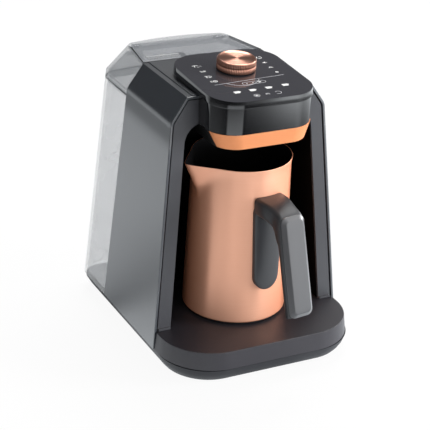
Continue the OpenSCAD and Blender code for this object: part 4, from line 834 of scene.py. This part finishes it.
def buildNeck():
    half, rear, corner = panel["width"] / 2 - neck["inset"], panel["y"] - neck["inset"], neck["corner"]
    plan = [(-half, neck["front"]), (-half, rear - corner)]
    plan += [onCircle(-half + corner, rear - corner, corner, 180 - a) for a in range(6, 91, 6)]
    plan += [(-x, y) for x, y in reversed(plan)]
    path = [(x, y, panel["z"] - (panel["y"] - y) * math.tan(tilt) - neck["drop"], neck["foot"])
            for x, y in plan]
    mesh = barMesh("drawnInPanelNeck", path, neck["thick"])
    smooth(mesh, 30)
    return newPiece("drawnInPanelNeck", mesh, "housing", "rim_gloss", "panel_frame")


for piece in (buildRim(), buildNeck()):
    setMaterials(piece, finishMaterial("pianoRimAbs"))

print("printed symbols")
ink = {"height": 0.03, "thick": 0.02, "spread": 1.2}  # mm, mm, and how much wider it lies than the pen


def arc(x, v, radius, start=0, end=360, steps=20):
    # v runs to the front, so the degrees go the other way round
    return [onCircle(x, v, radius, -(start + (end - start) * k / steps)) for k in range(steps + 1)]


def dot(x, v, radius):
    return arc(x, v, radius, 0, 337.5, 15)


dish = [(-22 + 30 * k / 24, 65.2 + 8.6 * math.sin(math.pi * k / 24) ** 0.8) for k in range(25)]
pill = arc(9.2, 70, 2.3, -90, 90, 10) + arc(-7.4, 70, 2.3, 90, 270, 10)
cup = [(-3.1, -1.9), (2.2, -1.9), (2.2, -1.2), (3.3, -1.1), (3.1, 0.3), (2.1, 0.4), (1.9, 1.9), (-2.8, 1.9)]
# each symbol's place on the panel and, round it, its lines with the pen's width and its filled areas, in mm
symbols = [
    # left column: tap with drops, small cup, flagged cup, two beans
    {"at": (-30, 25.2),
     "white": [([(-3.4, -1.6), (1.2, -1.6), (2.2, -0.6)], 0.55), ([(-1.2, -1.4), (-2.2, 1.9)], 0.5),
               ([(-0.2, 1.6), (2.0, 1.9)], 0.5)],
     "filled": [dot(3.6, 0.2, 0.35), dot(3.9, 1.7, 0.3)]},
    {"at": (-29.7, 36.5),
     "white": [([(-1.9, -1.1), (-1.7, 1.2), (1.3, 1.2), (1.5, -1.1)], 0.5),
               (arc(1.9, -0.1, 0.8, -90, 90, 8), 0.4), ([(-1.9, 0.1), (1.5, 0.1)], 0.4)]},
    {"at": (-30.2, 48.5),
     "white": [([(-2.8, -1.5), (1.6, -1.5), (1.4, 1.3), (-0.4, 1.3)], 0.55),
               ([(-1.6, -1.4), (-1.8, 1.8)], 0.5), (arc(2.1, -0.3, 0.8, -90, 90, 8), 0.4)]},
    {"at": (-29.6, 58.5),
     "white": [(arc(0.7, 0, 1.7), 0.5), ([(-0.3, 0.9), (1.6, -0.8)], 0.4),
               (arc(-2.2, -0.3, 1.1, 40, 300, 12), 0.45)]},
    # right column: power ring, sounder, roof, setting
    {"at": (30.7, 22.5), "white": [(arc(0, 0, 2.2, -240, 60), 0.45), ([(0.9, -2.2), (0.9, -0.6)], 0.4)]},
    {"at": (30, 33.9), "white": [(arc(0.8, 0, 1.3, -40, 40, 6), 0.35)],
     "filled": [[(-1.9, -0.6), (-0.6, -0.6), (0.8, -1.5), (0.8, 1.4), (-0.6, 0.6), (-1.9, 0.6)]]},
    {"at": (29.9, 44.9),
     "white": [([(-1.9, 0.9), (0, -1.3), (1.9, 0.9)], 0.5), ([(-0.8, 0.6), (0.9, 0.6)], 0.4)]},
    {"at": (30.2, 55.6), "white": [(arc(0, 0, 1.2, steps=14), 0.45)], "filled": [dot(0, 0, 0.6)]},
    # dividing line with the dish under the knob, and the pill with three dots
    {"at": (0, 0),
     "grey": [([(-33, 65.6), (-11, 64.4)], 0.4), ([(-11, 64.4), (33, 62)], 0.4), (dish, 0.42),
              (pill + pill[:1], 0.38)],
     "filled": [dot(-5.7, 70, 0.55), dot(-0.1, 70, 0.6),
                [(4.6, 69.1), (7.6, 69.6), (7.2, 70.6), (5.2, 71.1)]]},
    # four cups
    *({"at": place, "filled": [cup]} for place in ((-21.7, 84), (-7.3, 83.6), (7.9, 82.8), (23.9, 81.7))),
    # three ring symbols at the front
    {"at": (-9.5, 94.5), "grey": [(arc(0, 0, 2.4), 0.45)],
     "white": [([(-1.2, -0.9), (1.2, 0.9)], 0.5), ([(-1.2, 0.9), (1.2, -0.9)], 0.5),
               ([(0, -1.2), (0, 1.2)], 0.4)]},
    {"at": (0.6, 94.4),
     "grey": [(arc(0, 0, 1.6, -30, 200, 12), 0.45), (arc(0, 0.2, 0.7, -20, 200, 8), 0.4)]},
    {"at": (10.6, 93.9), "grey": [(arc(0, 0, 2.5, -150, 150), 0.45)]},
]


def printInk(name, finish, lineKey, areaKey=None):
    points, faces = [], []
    for symbol in symbols:
        atX, atV = symbol["at"]
        for line, width in symbol.get(lineKey, []):
            first = len(points)
            for pair in bandEdges(line, width * ink["spread"]):
                points += [onPanel(atX + x, atV + v, ink["height"]) for x, v in pair]
            faces += [(a, a + 1, a + 3, a + 2) for a in range(first, len(points) - 2, 2)]
        for area in symbol.get(areaKey, []):
            faces.append(tuple(range(len(points), len(points) + len(area))))
            points += [onPanel(atX + x, atV + v, ink["height"]) for x, v in area]
    mesh = bpy.data.meshes.new(name)
    mesh.from_pydata([Vector(p) * mm for p in points], [], faces)
    mesh.update()
    obj = newPiece(name, mesh, "housing", "panel_glass")
    obj.modifiers.new("inkLayer", "SOLIDIFY").thickness = ink["thick"] * mm
    setMaterials(obj, finishMaterial(finish))


printInk("printedWhiteSymbols", "whiteInk", "white", "filled")
printInk("printedGreyLines", "greyInk", "grey")

print("tank edges")
tank = {
    "front": 59.4, "joint": 205,  # y of the front wall, z of the joint with the cover
    "top": 231.5, "fall": 1.5, "rear": 116.5,  # the cover's top falls by that much to its rear
    "foot": 15, "width": 178.8, "lean": 5.05,  # degrees by which the sides lean in above the foot
    "corner": 17, "cornerY": 101, "bulge": 4.5,
}
# painted shade along the joint all round, for the shadow in the gap and the dark edge: set in from the wall,
# risen over the joint
jointPaintedShade = {"inset": 0.25, "rise": 0.35, "width": 0.8, "depth": 1.0, "radius": 16.6, "straight": 80,
             "rear": 117.55}
# bars by name, with their path seen from above and how deep they lie under the cover's top; these are painted
# shade in the gap round the flap
flapEdgeShades = {
    "flapLeftEdge": {"path": [(-48.5, 104.2), (-56.8, 60)], "under": -0.03, "width": 1.1, "depth": 2.0},
    "flapRightEdge": {"path": [(48.5, 104.2), (56.8, 60)], "under": -0.03, "width": 1.1, "depth": 2.0},
    "flapFrontEdge": {"path": [(-56.6, 60.35), (56.6, 60.35)], "under": -0.03, "width": 1.7, "depth": 2.0},
}
# what shows through the flap: a pale recess with dark steps, and the frame of the latch; the steps and the
# frame are drawn in the edges' painted shade
flapRibs = {
    "flapRecess": {"path": [(-45, 77.5), (-14, 77.5)], "under": 2.25, "width": 7.5, "depth": 0.5,
                   "finish": "whiteInk"},
    "flapRecessStep": {"path": [(-12, 72.4), (-12, 82)], "under": 2.25, "width": 5.6, "depth": 0.8},
    "flapRecessRear": {"path": [(-45, 82), (-12, 82)], "under": 2.25, "width": 0.8, "depth": 0.8},
    "flapLatchFrame": {"path": [(-8, 66), (-8, 72.5), (9, 72.5), (9, 67)], "under": 2.25, "width": 1.1,
                       "depth": 0.8},
}


def buildFlapBars(bars):
    for name, bar in bars.items():
        path = []
        for x, y in bar["path"]:
            share = (y - tank["front"]) / (tank["rear"] - tank["front"])
            top = tank["top"] - tank["fall"] * share - bar["under"]
            path.append((x, y, top, top - bar["depth"]))
        obj = newPiece(name, barMesh(name, path, bar["width"]), "flap", "cover_plastic")
        setMaterials(obj, finishMaterial(bar.get("finish", "smokeEdgePaintedShade")))


def buildJointPaintedShade():
    lean = (tank["joint"] - tank["foot"]) * math.tan(math.radians(tank["lean"]))
    half = tank["width"] / 2 - lean - jointPaintedShade["inset"]
    inner = half - tank["corner"]
    plan = [(half, tank["front"] + 0.4), (half, jointPaintedShade["straight"])]
    plan += [onCircle(inner, tank["cornerY"], jointPaintedShade["radius"], a) for a in range(0, 91, 10)]
    plan += [(inner * k / 8, jointPaintedShade["rear"] + tank["bulge"] * (1 - (k / 8) ** 2))
             for k in range(7, -1, -1)]
    plan += [(-x, y) for x, y in reversed(plan[:-1])]
    top = tank["joint"] + jointPaintedShade["rise"]
    path = [(x, y, top, top - jointPaintedShade["depth"]) for x, y in plan]
    mesh = barMesh("tankJointPaintedShade", path, jointPaintedShade["width"])
    obj = newPiece("tankJointPaintedShade", mesh, "tank", "tank_plastic")
    setMaterials(obj, finishMaterial("smokeEdgePaintedShade"))


buildFlapBars(flapEdgeShades)
buildJointPaintedShade()
buildFlapBars(flapRibs)
setMaterials(bpy.data.objects["dressed_tank_flap"], finishMaterial("smokeFlapSan"))

print("copper trim")
# the band is rose copper, with painted shade that turns its sides black. The painted shade's edge lies at y
# where z is "at", and goes back by the slope above that, in mm
trimPaintedShade = {"y": -47.4, "at": 208, "slope": 0.3, "softness": 0.6, "black": "060606"}


def trimMaterial():
    material, tree, shader = startMaterial("roseTrimWithPaintedShade")
    colour, second, roughness, grainSize, _, more = finishes["anodisedRoseSheet"]
    where = addNode(tree, "TexCoord")
    axes = addNode(tree, "SeparateXYZ", links={0: where.outputs["Object"]})
    lean = addNode(tree, "Math", {1: -trimPaintedShade["slope"]}, {0: axes.outputs["Z"]}, operation="MULTIPLY")
    line = addNode(tree, "Math", links={0: axes.outputs["Y"], 1: lean}, operation="ADD")
    start = trimPaintedShade["y"] - trimPaintedShade["slope"] * trimPaintedShade["at"]
    mask = addNode(tree, "MapRange", {"From Min": start * mm,
                   "From Max": (start + trimPaintedShade["softness"]) * mm}, {"Value": line})
    grain = addNode(tree, "TexNoise", {"Scale": 1 / (grainSize * mm), "Detail": 2},
                    {"Vector": where.outputs["Object"]})
    rose = addNode(tree, "Mix", {6: linearColour(colour), 7: linearColour(second)},
                   {0: grain.outputs["Fac"]}, data_type="RGBA")
    # painted shade: behind its edge the band turns black and loses its metal
    tint = addNode(tree, "Mix", {7: linearColour(trimPaintedShade["black"])},
                   {0: mask, 6: rose.outputs[2]}, data_type="RGBA")
    metal = addNode(tree, "MapRange", {"To Min": more["metallic"], "To Max": 0.0}, {"Value": mask})
    tree.links.new(tint.outputs[2], shader.inputs["Base Color"])
    tree.links.new(metal.outputs[0], shader.inputs["Metallic"])
    shader.inputs["Roughness"].default_value = roughness
    return material


setMaterials(bpy.data.objects["dressed_metal_trim"], trimMaterial())
